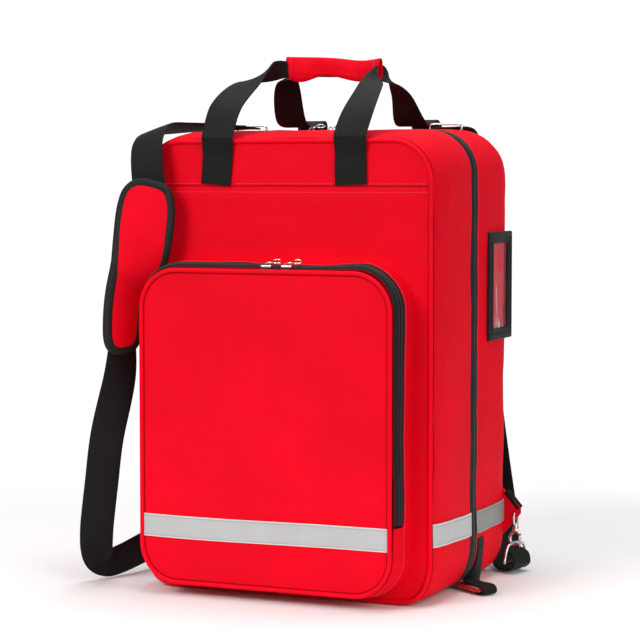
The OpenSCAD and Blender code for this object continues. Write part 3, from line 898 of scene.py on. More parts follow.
def close_ends(obj, count):
    """Caps both ends of a tube whose rings have count points."""
    mesh = obj.data
    total = len(mesh.vertices)
    ring_a = list(range(count))
    ring_b = list(range(total - count, total))
    faces = [tuple(p.vertices) for p in mesh.polygons]
    points = [v.co.copy() for v in mesh.vertices]
    uv = np.zeros(len(mesh.loops) * 2, dtype=np.float32)
    mesh.uv_layers["cut"].data.foreach_get("uv", uv)
    index = np.empty(len(mesh.loops), dtype=np.int32)
    mesh.loops.foreach_get("vertex_index", index)
    cut = np.zeros((total, 2), dtype=np.float32)
    cut[index] = uv.reshape(-1, 2)
    half = count // 2
    for ring in (ring_a, ring_b):
        for k in range(half - 1):
            faces.append((ring[k], ring[k + 1], ring[count - 2 - k], ring[count - 1 - k]))
    fresh = bpy.data.meshes.new(obj.name)
    fresh.from_pydata([tuple(p) for p in points], [], faces)
    write_cut(fresh, cut)
    obj.data = fresh


def stitches(name, runs, pitch, length=2.7 * MM, radius=0.33 * MM):
    """Rows of thread: each run is a line of points and the direction that its thread stands out."""
    points, faces = [], []
    for line, facing in runs:
        line = np.asarray(line, float)
        facing = np.broadcast_to(np.asarray(facing, float), line.shape)
        total = run_lengths(line)
        count = int(total[-1] / pitch)
        if count < 1:
            continue
        middles = (np.arange(count) + 0.5) * total[-1] / count
        centre = line_at(middles, total, line)
        out = line_at(middles, total, facing)
        way = line_at(middles + length / 2, total, line) - line_at(middles - length / 2, total, line)
        way /= np.linalg.norm(way, axis=1)[:, None]
        side = np.cross(way, out)
        side /= np.linalg.norm(side, axis=1)[:, None]
        for i in range(count):
            first = len(points)
            points.append(centre[i] - way[i] * length / 2)
            for a, b in ((1, 0), (0, 1), (-1, 0), (0, -1)):
                points.append(centre[i] + radius * (a * side[i] + b * out[i]))
            points.append(centre[i] + way[i] * length / 2)
            for k in range(4):
                m = (k + 1) % 4
                faces.append((first, first + 1 + m, first + 1 + k))
                faces.append((first + 5, first + 1 + k, first + 1 + m))
    return outward(mesh_piece(name, points, faces))


# ---------------------------------------------------------------------------
# Zips
# ---------------------------------------------------------------------------
def zip_tape(name, shell, t, y0, y1, lift, closed):
    """A strip of woven tape that follows a shell's edge."""
    ys = np.linspace(y0, y1, 5)
    grid = shell.at(t[:, None], ys[None, :], lift)
    if closed:
        grid = np.concatenate([grid, grid[:1]])
    along = run_lengths(grid[:, 2])
    cut = np.stack(np.meshgrid(along, ys - y0, indexing="ij"), axis=-1)
    obj = lay(name, grid, cut)
    if closed:
        merge(obj)
    return smooth(thick(obj, 0.9 * MM, -1.0), 50)


def coil(name, shell, t, y0, y1, lift, closed, shift=0.0):
    """A half zip's row of nylon loops, each a low rounded block across the tape's edge."""
    line = shell.at(t, np.full_like(t, (y0 + y1) / 2), lift)
    facing = shell.facing(t)
    if closed:
        line = np.concatenate([line, line[:1]])
        facing = np.concatenate([facing, facing[:1]])
    total = run_lengths(line)
    count = int(total[-1] / sizes().coil_pitch)
    spot = (np.arange(count) + 0.5 + shift) * total[-1] / count
    spot = spot[spot < total[-1]]
    centre, out = line_at(spot, total, line), line_at(spot, total, facing)
    out /= np.linalg.norm(out, axis=1)[:, None]
    across = np.array([0.0, 1.0, 0.0])
    way = np.cross(across, out)
    wide, long, tall = 0.72 * MM, abs(y1 - y0) / 2, 0.55 * MM
    points, faces = [], []
    profile = [(-1, -1), (-1, 0.2), (-0.55, 1), (0.55, 1), (1, 0.2), (1, -1)]
    for i in range(len(spot)):
        first = len(points)
        for end in (-1, 1):
            for a, b in profile:
                reach = end * long * (1 if b < 1 else 0.8)
                points.append(centre[i] + way[i] * a * wide + out[i] * b * tall + across * reach)
        for k in range(6):
            m = (k + 1) % 6
            faces.append((first + k, first + m, first + 6 + m, first + 6 + k))
        faces.append(tuple(first + k for k in (5, 4, 3, 2, 1, 0)))
        faces.append(tuple(first + 6 + k for k in range(6)))
    return outward(mesh_piece(name, points, faces))


def block(centre, size):
    """A box of a size round a centre."""
    only_none()
    bpy.ops.mesh.primitive_cube_add(size=1, location=centre)
    bpy.context.object.dimensions = size
    return settle(bpy.context.object)


def wire_loop(centre, radius, thickness, segments=24, turn=(0, 0, 0), scale=(1, 1, 1)):
    """A ring of round wire."""
    only_none()
    bpy.ops.mesh.primitive_torus_add(major_radius=radius, minor_radius=thickness, major_segments=segments,
                                     minor_segments=8, location=centre, rotation=turn)
    bpy.context.object.scale = scale
    return settle(bpy.context.object)


def rod(centre, radius, length, sides, bevel, segments):
    """An upright round bar with eased ends."""
    only_none()
    bpy.ops.mesh.primitive_cylinder_add(vertices=sides, radius=radius, depth=length, location=centre)
    bar = settle(bpy.context.object)
    return modify(bar, "BEVEL", width=bevel, segments=segments, limit_method="ANGLE")


def slider_body(name, spot):
    """A zip slider: a waisted top plate with a raised bridge for the pull."""
    plate = block(spot, (12 * MM, 9 * MM, 2.6 * MM))
    edited(plate, bpy.ops.mesh.subdivide, number_cuts=2)
    for v in plate.data.vertices:
        waist = 1 - 0.28 * math.exp(-(((v.co.x - spot[0]) / (3 * MM)) ** 2))
        v.co.y = spot[1] + (v.co.y - spot[1]) * waist
    modify(plate, "BEVEL", width=0.5 * MM, segments=2)
    bridge = wire_loop((spot[0], spot[1], spot[2] + 1.6 * MM), 2.6 * MM, 0.65 * MM, 20, (math.pi / 2, 0, 0))
    return smooth(joined(name, [plate, bridge]), 40)


def ring_pull(name, spot):
    """A slim wire loop and a round ring, lying towards +X from the slider's bridge."""
    link = wire_loop((spot[0] + 3.0 * MM, spot[1], spot[2]), 3.2 * MM, 0.7 * MM, scale=(1.25, 0.62, 1.0))
    ring = wire_loop((spot[0] + 11.5 * MM, spot[1], spot[2] + 1.2 * MM), 5.0 * MM, 0.8 * MM, 28, (0.35, 0.12, 0))
    return smooth(joined(name, [link, ring]))


def only_none():
    if bpy.context.mode != "OBJECT":
        bpy.ops.object.mode_set(mode="OBJECT")
    bpy.ops.object.select_all(action="DESELECT")


def settle(obj):
    """Puts the object's place, turn and scale into its mesh."""
    only(obj)
    bpy.ops.object.transform_apply(location=True, rotation=True, scale=True)
    return obj


# ---------------------------------------------------------------------------
# Pieces
# ---------------------------------------------------------------------------
FULL = places(44, 14)


def make_rear_shell():
    ys = np.concatenate([np.linspace(6, 104, 30), np.linspace(107, 125.5, 10)]) * MM
    grid = REAR.at(FULL[:, None], ys[None, :])
    obj = merge(lay("rear_shell", np.concatenate([grid, grid[:1]])))
    thick(obj, 3.2 * MM)
    dress(smooth(obj, 60), "red_side_fabric", "red_side_fabric", "root", "rear_gusset")
    rim = REAR.at(FULL, 125.2 * MM)
    dress(tube("rear_piping", rim, 2.2 * MM, 8), "black_binding", "black_webbing", "root")


def make_back():
    x, z, u, v = panel_grid(165 * MM, 10 * MM, 498 * MM, 38.5 * MM, 40, 10)
    y = BACK_Y - 0.5 * MM + 1.5 * MM * pillow(u, v) + 0.4 * MM * ripple(np.stack([x, x * 0, z], -1), 80 * MM, 5)
    grid = np.stack([x, y, settled(z)], axis=-1)
    obj = lay("back_face", grid, np.stack([x, z], axis=-1))
    thick(obj, 3 * MM, 1.0)
    dress(smooth(obj, 60), "black_mesh", "black_mesh", "root", "back_panel")


def make_lid_shell():
    ys = np.concatenate([np.linspace(-117, -96, 12), np.linspace(-93, -7, 26)]) * MM
    grid = LID.at(FULL[:, None], ys[None, :])
    obj = merge(lay("lid_shell", np.concatenate([grid, grid[:1]])))
    thick(obj, 3.2 * MM)
    dress(smooth(obj, 60), "red_side_fabric", "red_side_fabric", "lid", "front_gusset")


def front_panel_y(x, z):
    """Depth of the lid's front face: nearly flat, a little crowned, fuller below the yoke."""
    u = x / (171 * MM)
    v = (z - 251 * MM) / (249 * MM)
    points = np.stack([x, x * 0, z], axis=-1)
    crown = 2.2 * MM * pillow(u, v) + 0.6 * MM * ripple(points, 120 * MM, 3) * pillow(u, v)
    step_in = 0.8 * MM * step(z, YOKE_Z - 0.8 * MM, YOKE_Z + 0.4 * MM)
    swell = 1.4 * MM * bell(z, YOKE_Z - 14 * MM, 9 * MM) * pillow(u, v)
    return FRONT_Y - 1.2 * MM - crown - step_in - swell


def make_lid_front():
    extra = YOKE_Z + np.array([-1.6, -0.8, -0.2, 0.4, 1.2]) * MM
    x, z, u, v = panel_grid(170.5 * MM, 3 * MM, 499.5 * MM, 44 * MM, 70, 12, extra)
    grid = np.stack([x, front_panel_y(x, z), settled(z)], axis=-1)
    obj = lay("lid_front", grid, np.stack([x, z], axis=-1))
    thick(obj, 3.5 * MM, 1.0)
    dress(smooth(obj, 60), "red_fabric", "red_fabric", "lid", "front_panel")
    t = places(60, 18)
    px, pz, nx, nz = outline(171.0 * MM, 3.2 * MM, 500 * MM, 44.5 * MM, t)
    rim = np.stack([px, np.full_like(px, FRONT_Y - 2.6 * MM), settled(pz)], axis=-1)
    dress(tube("lid_piping", rim, sizes().piping_radius, 12), "red_piping", "red_piping", "lid", "front_piping")
    # Thin deep red cords on both sides of the lid's piping: painted shade in the hollows there, not thread.
    px, pz, _, _ = outline(168.0 * MM, 6.2 * MM, 497 * MM, 41.5 * MM, t)
    inner = np.stack([px, np.full_like(px, FRONT_Y - 1.5 * MM), settled(pz)], axis=-1)
    groove_shades = [tube("groove_shade", inner, 0.6 * MM, 8), tube("groove_shade", LID.at(t, -114.2 * MM, 0.1 * MM), 0.6 * MM, 8)]
    dress(joined("lid_piping_shade", groove_shades), "seam_shade_line", "red_fabric", "lid")


def pocket_front_y(x, z):
    """Depth of the pocket's front face: crowned, with soft dents towards its corners."""
    u = (x - POCKET_X) / (147 * MM)
    v = (z - 187.5 * MM) / (174.5 * MM)
    points = np.stack([x, x * 0, z], axis=-1)
    full = pillow(u, v, 2.6)
    waves = 1.1 * MM * ripple(points, 150 * MM, 8) + 0.35 * MM * ripple(points, 48 * MM, 9)
    taut = 0.9 * MM * bell(z, FOLD_Z - 13 * MM, 22 * MM)
    return POCKET_Y - 0.6 * MM - (sizes().pocket_crown + waves - taut) * full


def make_pocket():
    x, z, u, v = panel_grid(146.5 * MM, 16.2 * MM, 358.5 * MM, 41 * MM, 64, 12,
                            np.arange(FOLD_Z, FOLD_Z + 18 * MM, 2 * MM))
    x = x + POCKET_X
    grid = np.stack([x, pocket_front_y(x, z), z], axis=-1)
    obj = lay("pocket_front", grid, np.stack([x, z], axis=-1))
    thick(obj, 3 * MM, 1.0)
    dress(smooth(obj, 60), "red_fabric", "red_fabric", "lid", "pocket_flap", "pocket_lower_panel")
    bend_at_fold(obj)
    t = places(56, 18)
    px, pz, _, _ = outline(147.2 * MM, 15.4 * MM, 359.6 * MM, 42 * MM, t)
    rim = np.stack([px + POCKET_X, np.full_like(px, POCKET_Y - 1.6 * MM), pz], axis=-1)
    piping = tube("pocket_piping", rim, sizes().piping_radius, 12)
    dress(piping, "red_piping", "red_piping", "lid", "pocket_flap_piping", "pocket_lower_piping")
    bend_at_fold(piping)
    # Thin deep red cords on both sides of the pocket's piping: painted shade in the hollows there, not thread.
    px, pz, _, _ = outline(144.2 * MM, 18.4 * MM, 356.6 * MM, 39 * MM, t)
    px = px + POCKET_X
    inner = np.stack([px, pocket_front_y(px, pz) - 0.1 * MM, pz], axis=-1)
    groove_shades = [tube("groove_shade", inner, 0.6 * MM, 8), tube("groove_shade", POCKET.at(t, -157.4 * MM, 0.3 * MM), 0.55 * MM, 8)]
    seam = dress(joined("pocket_piping_shade", groove_shades), "seam_shade_line", "red_fabric", "lid")
    bend_at_fold(seam)
    back = np.linspace(-142.2, -113.5, 14) * MM
    grid = POCKET.at(FULL[:, None], back[None, :])
    sides = merge(lay("pocket_sides", np.concatenate([grid, grid[:1]])))
    thick(sides, 1.6 * MM)
    reach = POCKET.side(FOLD_Z - 2 * MM)
    t = np.linspace(1 - reach, 1 + reach, 160)
    front = np.linspace(-157.5, -142.2, 7) * MM
    chin = lay("pocket_chin", POCKET.at(t[:, None], front[None, :]))
    thick(chin, 1.6 * MM)
    sides = smooth(joined("pocket_sides", [sides, chin]), 60)
    dress(sides, "red_side_fabric", "red_side_fabric", "lid", "pocket_gusset")


def bend_at_fold(obj):
    """Fabric that crosses the pocket's fold bends smoothly over a short height above it."""
    obj.parent = None
    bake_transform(obj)


def make_pocket_zip():
    reach = POCKET.side(FOLD_Z + 1 * MM)
    t = np.linspace(reach, 1 - reach, 420)
    parts = [("pocket_zip_front", "pocket_flap", -156.6, -150.0, "pocket_flap_tape"),
             ("pocket_zip_back", "lid", -149.2, -141.8, "pocket_inner_tape")]
    for name, body, y0, y1, node in parts:
        tape = zip_tape(name, POCKET, t, y0 * MM, y1 * MM, 0.7 * MM, False)
        dress(tape, "zip_tape", "zip_tape", body, node)
        edge = (y1 if body == "pocket_flap" else y0) * MM
        inward = -2.4 * MM if body == "pocket_flap" else 2.4 * MM
        teeth = coil(name + "_coil", POCKET, t, edge, edge + inward, 1.1 * MM, False)
        dress(teeth, "zip_coil", "zip_tape", body)
        if body == "pocket_flap":
            for piece in (tape, teeth):
                bend_at_fold(piece)


def make_main_zip():
    t = places(90, 26)
    parts = [("rear_zip", REAR, "root", 0.0, 9.5, "rear_zip_tape", 0.0),
             ("lid_zip", LID, "lid", -10.1, -0.6, "lid_zip_tape", 0.5)]
    for name, shell, body, y0, y1, node, shift in parts:
        tape = zip_tape(name, shell, t, y0 * MM, y1 * MM, 0.7 * MM, True)
        dress(tape, "zip_tape", "zip_tape", body, node)
        edge = (y0 if body == "root" else y1) * MM
        inward = 2.6 * MM if body == "root" else -2.6 * MM
        teeth = coil(name + "_coil", shell, t, edge, edge + inward, 1.2 * MM, True, shift)
        dress(teeth, "zip_coil", "zip_tape", body)


def make_sliders():
    for node in ("main_slider_left", "main_slider_right", "pocket_slider_left", "pocket_slider_right"):
        low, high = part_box(node)
        spot = ((low.x + high.x) / 2, (low.y + high.y) / 2, low.z + 2.2 * MM)
        dress(slider_body(node + "_body", spot), "nickel", "nickel", node, node)
        pull = node.replace("slider", "pull")
        low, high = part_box(pull)
        spot = (low.x + 1.2 * MM, (low.y + high.y) / 2, (low.z + high.z) / 2)
        dress(ring_pull(pull + "_ring", spot), "nickel", "nickel", pull, pull)


FRONT_HANDLE = [
    ((-81.5, -118.6, 452.5), (1, 0, 0), 36), ((-80, -118.8, 470), (1, 0, 0), 36),
    ((-79, -118.6, 486), (1, 0, 0), 36.5), ((-78.5, -120.9, 500), (1, 0, 0), 37.5),
    ((-78, -119.8, 509), (1, 0, 0), 38), ((-75, -103, 540), (1, 0.1, 0), 38),
    ((-68, -60, 567), (0.9, 0.4, 0.3), 36), ((-56, -18, 581), (0.5, 0.5, 0.8), 24),
    ((-38, 3, 584), (0, 0, 1), 16), ((8, 3, 585), (0, 0, 1), 14), ((54, 3, 581), (0, 0, 1), 14),
    ((69, -18, 575), (-0.5, 0.5, 0.8), 16), ((78, -60, 560), (-0.9, 0.4, 0.3), 28),
    ((82, -102, 534), (-1, 0.1, 0), 38), ((80, -119.8, 509), (-1, 0, 0), 38),
    ((79.7, -120.9, 500), (-1, 0, 0), 37.5), ((79.5, -118.6, 486), (-1, 0, 0), 36.5),
    ((79.5, -118.8, 470), (-1, 0, 0), 37), ((80, -118.6, 452.5), (-1, 0, 0), 37)]
REAR_HANDLE = [
    ((-75, 129.6, 452.5), (1, 0, 0), 38), ((-75, 129.6, 486), (1, 0, 0), 38),
    ((-74, 129.6, 506), (1, 0, 0), 38), ((-72, 126.5, 518), (1, 0, 0), 38),
    ((-68, 112, 526.5), (1, 0, 0), 38), ((-68, 84, 520), (1, 0, 0), 38), ((-70, 60, 526), (1, 0, 0), 38),
    ((-64, 36, 556), (0.9, 0.1, 0.2), 32), ((-54, 18, 578), (0.5, 0, 0.8), 22),
    ((-36, 11, 583), (0, 0, 1), 18), ((8, 11, 583), (0, 0, 1), 18), ((52, 11, 580), (0, 0, 1), 18),
    ((66, 18, 574), (-0.5, 0, 0.8), 20), ((77, 36, 554), (-0.9, 0.1, 0.2), 27),
    ((78, 60, 526), (-1, 0, 0), 38), ((76, 84, 520), (-1, 0, 0), 38), ((75, 112, 526.5), (-1, 0, 0), 38),
    ((75, 126.5, 518), (-1, 0, 0), 38), ((75, 129.2, 506), (-1, 0, 0), 38),
    ((75, 128.6, 486), (-1, 0, 0), 38), ((75, 128.4, 452.5), (-1, 0, 0), 38)]


def box_stitch(x, y, facing):
    """A sewn box with its crossing diagonals, over a handle's end."""
    x0, x1 = x - 15 * MM, x + 15 * MM
    z0, z1 = YOKE_Z + 3 * MM, STITCH_TOP_Z - 3 * MM
    ends = [(x0, z0), (x1, z0), (x1, z1), (x0, z1)]
    lines = [(ends[0], ends[1]), (ends[1], ends[2]), (ends[2], ends[3]), (ends[3], ends[0]),
             (ends[0], ends[2]), (ends[1], ends[3])]
    return [(np.array([[a[0], y, a[1]], [b[0], y, b[1]]]), facing) for a, b in lines]


def make_handles():
    thickness = sizes().webbing_thickness
    front = webbing("front_handle", FRONT_HANDLE, thickness, 10)
    dress(front, "black_webbing", "black_webbing", "lid", "front_handle_base", "front_handle_loop")
    front.parent = None
    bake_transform(front)
    rear = webbing("rear_handle", REAR_HANDLE, thickness, 10)
    dress(rear, "black_webbing", "black_webbing", "root", "rear_handle_base", "rear_handle_loop")
    rear.parent = None
    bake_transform(rear)
    runs = []
    for x in (-80.5 * MM, 79.5 * MM):
        runs += box_stitch(x, -119.9 * MM, (0, -1, 0))
    dress(stitches("front_handle_stitching", runs, sizes().stitch_pitch), "black_thread", "black_webbing", "lid")
    runs = []
    for x in (-75 * MM, 75 * MM):
        runs += box_stitch(x, 129.7 * MM, (0, 1, 0))
    dress(stitches("rear_handle_stitching", runs, sizes().stitch_pitch), "black_thread", "black_webbing", "root")


def make_wrap():
    """The grip sleeve: a soft tube round the handle, pinched at its ends and open in a notch at the right."""
    low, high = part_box("handle_wrap")
    rows, columns = 72, 56
    s = np.linspace(0, 1, rows)
    angle = np.linspace(0, 2 * math.pi, columns, endpoint=False)
    grid = np.zeros((rows, columns, 3))
    for j, a in enumerate(angle):
        notch = math.exp(-(((a - 1.30 * math.pi) / 0.5) ** 2))
        x_end = high.x + 1 * MM - 15 * MM * notch
        x = low.x - 1 * MM + s * (x_end - low.x)
        f = (x - low.x) / (high.x - low.x)
        top = eased(f, [0, 0.5, 0.85, 1], [598, 595.5, 592, 594])
        bottom = eased(f, [0, 0.08, 0.4, 0.8, 1], [573, 569.5, 575.5, 568, 570])
        middle, tall = (top + bottom) / 2, (top - bottom) / 2
        deep = 5.3 + 0.5 * np.sin(f * 14)
        c, d = math.cos(a), math.sin(a)
        power = 0.62
        grid[:, j, 0] = x
        grid[:, j, 1] = (2.0 + np.sign(c) * abs(c) ** power * deep) * MM
        grid[:, j, 2] = (middle + np.sign(d) * abs(d) ** power * tall) * MM
    wave = ripple(grid, 30 * MM, 61) * 0.9 * MM + ripple(grid * np.array([1, 1, 2.5]), 16 * MM, 62) * 0.35 * MM
    grid[..., 1] += wave * np.where(grid[..., 1] < 2 * MM, 1, 0.3)
    along = run_lengths(grid[:, 0])
    around = np.arange(columns) / columns * 72 * MM
    obj = lay("grip_sleeve", grid, np.stack(np.meshgrid(along, around, indexing="ij"), axis=-1), closed=True)
    thick(obj, 1.6 * MM)
    dress(smooth(obj, 60), "red_fabric", "red_fabric", "front_handle", "handle_wrap")
    runs = []
    for row in (4, 67):
        runs.append((grid[row, columns // 4: 3 * columns // 4 + 2] + np.array([0, -0.15 * MM, 0]), (0, -1, 0)))
    thread = stitches("grip_sleeve_stitching", runs, 3 * MM)
    dress(thread, "red_thread", "red_fabric", "front_handle")


LEFT_UPPER = [
    ((-123, 60, 517.3), (0.95, -0.3, 0), 32), ((-131, 34, 517.8), (0.87, -0.45, 0.1), 36),
    ((-147, -8, 517.6), (0.93, -0.3, 0.2), 38), ((-157, -60, 516), (0.9, -0.15, 0.3), 38),
    ((-162, -104, 514), (0.92, 0, 0.3), 38), ((-161, -127, 500), (0.95, 0.05, 0.2), 38),
    ((-158, -136, 478), (0.97, 0.1, 0.1), 38), ((-154, -138, 448), (0.985, 0.17, 0), 38)]
LEFT_LOWER = [
    ((-186, -143.5, 276), (0.45, 0.89, 0), 36), ((-193, -138, 235), (0.7, 0.7, 0), 38),
    ((-208, -140, 170), (0.9, 0.4, 0), 38), ((-219, -134, 115), (0.9, 0.4, 0), 38),
    ((-229, -128, 60), (0.9, 0.4, 0), 38), ((-232, -120, 30), (0.75, 0.6, 0.2), 36),
    ((-229, -103, 19), (0.35, 0.5, 0.8), 34), ((-222, -78, 21), (0.1, 0.2, 1), 36),
    ((-214, -20, 30), (0, 0, 1), 38), ((-216, 40, 32), (0, 0.2, 1), 38),
    ((-217, 80, 30), (-0.1, 0.7, 0.7), 36), ((-211, 104, 26), (-0.28, 0.94, 0.2), 34),
    ((-200, 117, 25), (-0.28, 0.96, 0), 34), ((-186, 121.5, 25), (-0.28, 0.96, 0), 34)]
RIGHT_UPPER = [
    ((122, 60, 517.3), (1, 0, 0), 32), ((121, 92, 517.6), (1, 0, 0), 38), ((120, 118, 514), (1, 0, 0), 38),
    ((119, 133, 504), (1, 0, 0), 38), ((118, 144, 484), (1, 0, 0), 38), ((116, 156, 458), (1, 0, 0), 38),
    ((116, 164, 436), (1, 0, 0), 38)]
RIGHT_LOWER = [
    ((130, 164, 264), (1, 0, 0.1), 38), ((136, 168, 200), (1, 0, 0.1), 38),
    ((146, 172, 120), (1, 0, 0.1), 38), ((154, 172, 62), (0.95, 0.2, 0.2), 38),
    ((160, 163, 27), (0.8, 0.6, 0.1), 38), ((168, 147, 10), (0.5, 0.85, 0), 36),
    ((177, 129, 4.2), (0.28, 0.96, 0), 34), ((189, 123, 4.4), (0.28, 0.96, 0), 34),
    ((197, 119.5, 11), (0.28, 0.96, 0), 34), ((195, 119.5, 22), (0.28, 0.96, 0), 34),
    ((186, 121.5, 27), (0.28, 0.96, 0), 34)]
PAD_LEFT = [
    ((-151.5, -139.5, 457.5), (0.985, 0.17, 0), 24), ((-152, -140, 454.5), (0.985, 0.17, 0), 40),
    ((-152.5, -140.5, 448.5), (0.985, 0.17, 0), 52), ((-154.5, -141, 438), (0.985, 0.17, 0), 61),
    ((-157, -142, 418), (0.985, 0.17, 0), 66), ((-161, -143, 385), (0.97, 0.24, 0), 64),
    ((-167, -143, 363), (0.88, 0.47, 0), 58), ((-177, -144, 343), (0.62, 0.78, 0), 50),
    ((-182, -145, 322), (0.5, 0.87, 0), 49), ((-184, -145.5, 300), (0.45, 0.89, 0), 49),
    ((-185, -145, 280), (0.45, 0.89, 0), 47), ((-185.5, -144.5, 270), (0.45, 0.89, 0), 39),
    ((-186, -144, 264), (0.45, 0.89, 0), 24)]
PAD_RIGHT = [
    ((116, 164, 447), (1, 0, 0), 30), ((116, 164, 440), (1, 0, 0), 50), ((116, 164, 428), (1, 0, 0), 62),
    ((117, 164, 400), (1, 0, 0), 66), ((122, 164, 330), (1, 0, 0), 66), ((128, 164, 285), (1, 0, 0), 62),
    ((130, 164, 266), (1, 0, 0), 50), ((131, 164, 256), (1, 0, 0), 30)]


def make_straps():
    thickness = sizes().webbing_thickness
    for name, rows in (("strap_left_upper", LEFT_UPPER), ("strap_left_lower", LEFT_LOWER),
                       ("strap_right_upper", RIGHT_UPPER), ("strap_right_lower", RIGHT_LOWER)):
        strap = webbing(name + "_webbing", rows, thickness, 10, 0.5 * MM)
        dress(strap, "black_webbing", "black_webbing", "root", name)
        if "left" in name:
            yields_to_lid(strap)


def yields_to_lid(obj):
    """The left strap hangs in front of the lid, so it is pushed aside as the lid opens."""
    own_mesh(obj)


def pad_rings(rows, thickness, per, columns):
    """A closed pad: a row of flat oval rings, thin at the rim and full in the middle."""
    centre, across, facing, width = band_frame(rows, per)
    angle = np.arange(columns) / columns * 2 * math.pi
    rings = []
    rim = thickness * 0.30
    for i in range(len(centre)):
        fullness = min(1.0, width[i] / (60 * MM))
        c, s = np.cos(angle), np.sin(angle)
        side = np.sign(c) * np.abs(c) ** 0.75 * width[i] / 2
        deep = np.sign(s) * (rim + (thickness / 2 - rim) * np.abs(s) ** 1.1) * np.minimum(1, np.abs(s) * 3) * fullness
        rings.append(centre[i] + side[:, None] * across[i] + deep[:, None] * facing[i])
    return np.array(rings), (centre, across, facing, width)


def swell(obj, rim_line, pressure, cap, hold=6 * MM):
    """Inflates a pad as cloth, held along its rim, and caps how far any point moves."""
    modify(obj, "REMESH", mode="VOXEL", voxel_size=4 * MM)
    before = np.array([v.co for v in obj.data.vertices])
    gap = np.linalg.norm(before[:, None] - rim_line[None], axis=-1).min(axis=1)
    group = obj.vertex_groups.new(name="rim")
    for i, g in enumerate(gap):
        group.add([i], float(np.clip(1.2 - g / hold, 0, 1)), "REPLACE")
    only(obj)
    cloth = obj.modifiers.new("Cloth", "CLOTH")
    cloth.settings.quality = 6
    cloth.settings.mass = 0.2
    cloth.settings.tension_stiffness = 18
    cloth.settings.bending_stiffness = 1.5
    cloth.settings.use_pressure = True
    cloth.settings.uniform_pressure_force = pressure
    cloth.settings.effector_weights.gravity = 0
    cloth.settings.vertex_group_mass = "rim"
    cloth.point_cache.frame_start = 1
    cloth.point_cache.frame_end = 20
    scene = bpy.context.scene
    for number in range(1, 21):
        scene.frame_set(number)
    graph = bpy.context.evaluated_depsgraph_get()
    swollen = obj.evaluated_get(graph).to_mesh()
    after = np.array([v.co for v in swollen.vertices])
    obj.evaluated_get(graph).to_mesh_clear()
    obj.modifiers.remove(cloth)
    scene.frame_set(1)
    if len(after) == len(before):
        move = after - before
        far = np.linalg.norm(move, axis=1)[:, None]
        move *= np.minimum(1, cap / np.maximum(far, 1e-9))
        obj.data.vertices.foreach_set("co", (before + move).astype(np.float32).ravel())
    obj.vertex_groups.clear()
    modify(obj, "SUBSURF", levels=1, render_levels=1)
    return smooth(obj)


def rim_of(frame_lines, inset=0.0):
    """The line round a pad's edge."""
    centre, across, _, width = frame_lines
    right = centre + across * (width / 2 - inset)[:, None]
    left = centre - across * (width / 2 - inset)[:, None]
    return np.concatenate([right, left[::-1]])


def spaced(line, gap):
    """The same closed line with evenly spaced points, its corners eased."""
    line = np.concatenate([line, line[:1]])
    total = run_lengths(line)
    count = max(12, int(total[-1] / gap))
    spot = np.arange(count) / count * total[-1]
    out = line_at(spot, total, line)
    for _ in range(6):
        out = (np.roll(out, 1, axis=0) + 2 * out + np.roll(out, -1, axis=0)) / 4
    return out


def cut_by_facing(obj):
    """Cloth coordinates for a remeshed piece, from its two longest directions."""
    mesh = obj.data
    points = np.array([v.co for v in mesh.vertices])
    middle = points.mean(axis=0)
    _, _, ways = np.linalg.svd(points - middle, full_matrices=False)
    write_cut(mesh, (points - middle) @ ways[:2].T)
    return obj


def make_pads():
    for side, rows in (("left", PAD_LEFT), ("right", PAD_RIGHT)):
        rings, lines = pad_rings(rows, 10 * MM, 6, 40)
        body = lay("shoulder_pad_" + side + "_body", rings, closed=True)
        cap_tube(body)
        rim = spaced(rim_of(lines), 4 * MM)
        swell(body, rim, 3.0, 5 * MM)
        cut_by_facing(body)
        dress(body, "red_fabric", "pad_fabric", "root", "shoulder_pad_" + side)
        binding = edge_binding("shoulder_pad_" + side + "_binding", rim, lines)
        dress(binding, "black_binding", "black_webbing", "root")
        if side == "left":
            yields_to_lid(body)
            yields_to_lid(binding)


def cap_tube(obj):
    """Fills the open ends of a tube."""
    only(obj)
    bpy.ops.object.mode_set(mode="EDIT")
    bpy.ops.mesh.select_mode(type="EDGE")
    bpy.ops.mesh.select_all(action="DESELECT")
    bpy.ops.mesh.select_non_manifold()
    bpy.ops.mesh.edge_face_add()
    bpy.ops.mesh.select_all(action="SELECT")
    bpy.ops.mesh.normals_make_consistent(inside=False)
    bpy.ops.object.mode_set(mode="OBJECT")
    return obj


def edge_binding(name, rim, lines, wide=10.5 * MM, tall=4.6 * MM):
    """Binding folded round a pad's edge: a flat oval cord that follows the rim."""
    centre, across, facing, width = lines
    nearest = np.linalg.norm(rim[:, None] - centre[None], axis=-1).argmin(axis=1)
    out = facing[nearest]
    for _ in range(8):
        out = (np.roll(out, 1, axis=0) + 2 * out + np.roll(out, -1, axis=0)) / 4
    out /= np.linalg.norm(out, axis=1)[:, None]
    tangent = np.roll(rim, -1, axis=0) - np.roll(rim, 1, axis=0)
    tangent /= np.linalg.norm(tangent, axis=1)[:, None]
    side = np.cross(tangent, out)
    reach = run_lengths(centre)
    inner = np.where((reach > 30 * MM) & (reach < reach[-1] - 30 * MM))[0]
    inward = centre[np.clip(nearest, inner[0], inner[-1])] - rim
    side *= np.sign((side * inward).sum(axis=1))[:, None]
    angle = np.arange(14) / 14 * 2 * math.pi
    c, s = np.cos(angle), np.sin(angle)
    flat = np.sign(c) * np.abs(c) ** 0.7 * wide / 2 + wide * 0.36
    up = np.sign(s) * np.abs(s) ** 0.8 * tall
    rings = rim[:, None] + flat[None, :, None] * side[:, None] + up[None, :, None] * out[:, None]
    along = run_lengths(np.concatenate([rim, rim[:1]]))
    cut = np.stack(np.meshgrid(along, angle * 3 * MM, indexing="ij"), axis=-1)
    obj = lay(name, np.concatenate([rings, rings[:1]]), cut, closed=True)
    merge(obj)
    return smooth(outward(obj))


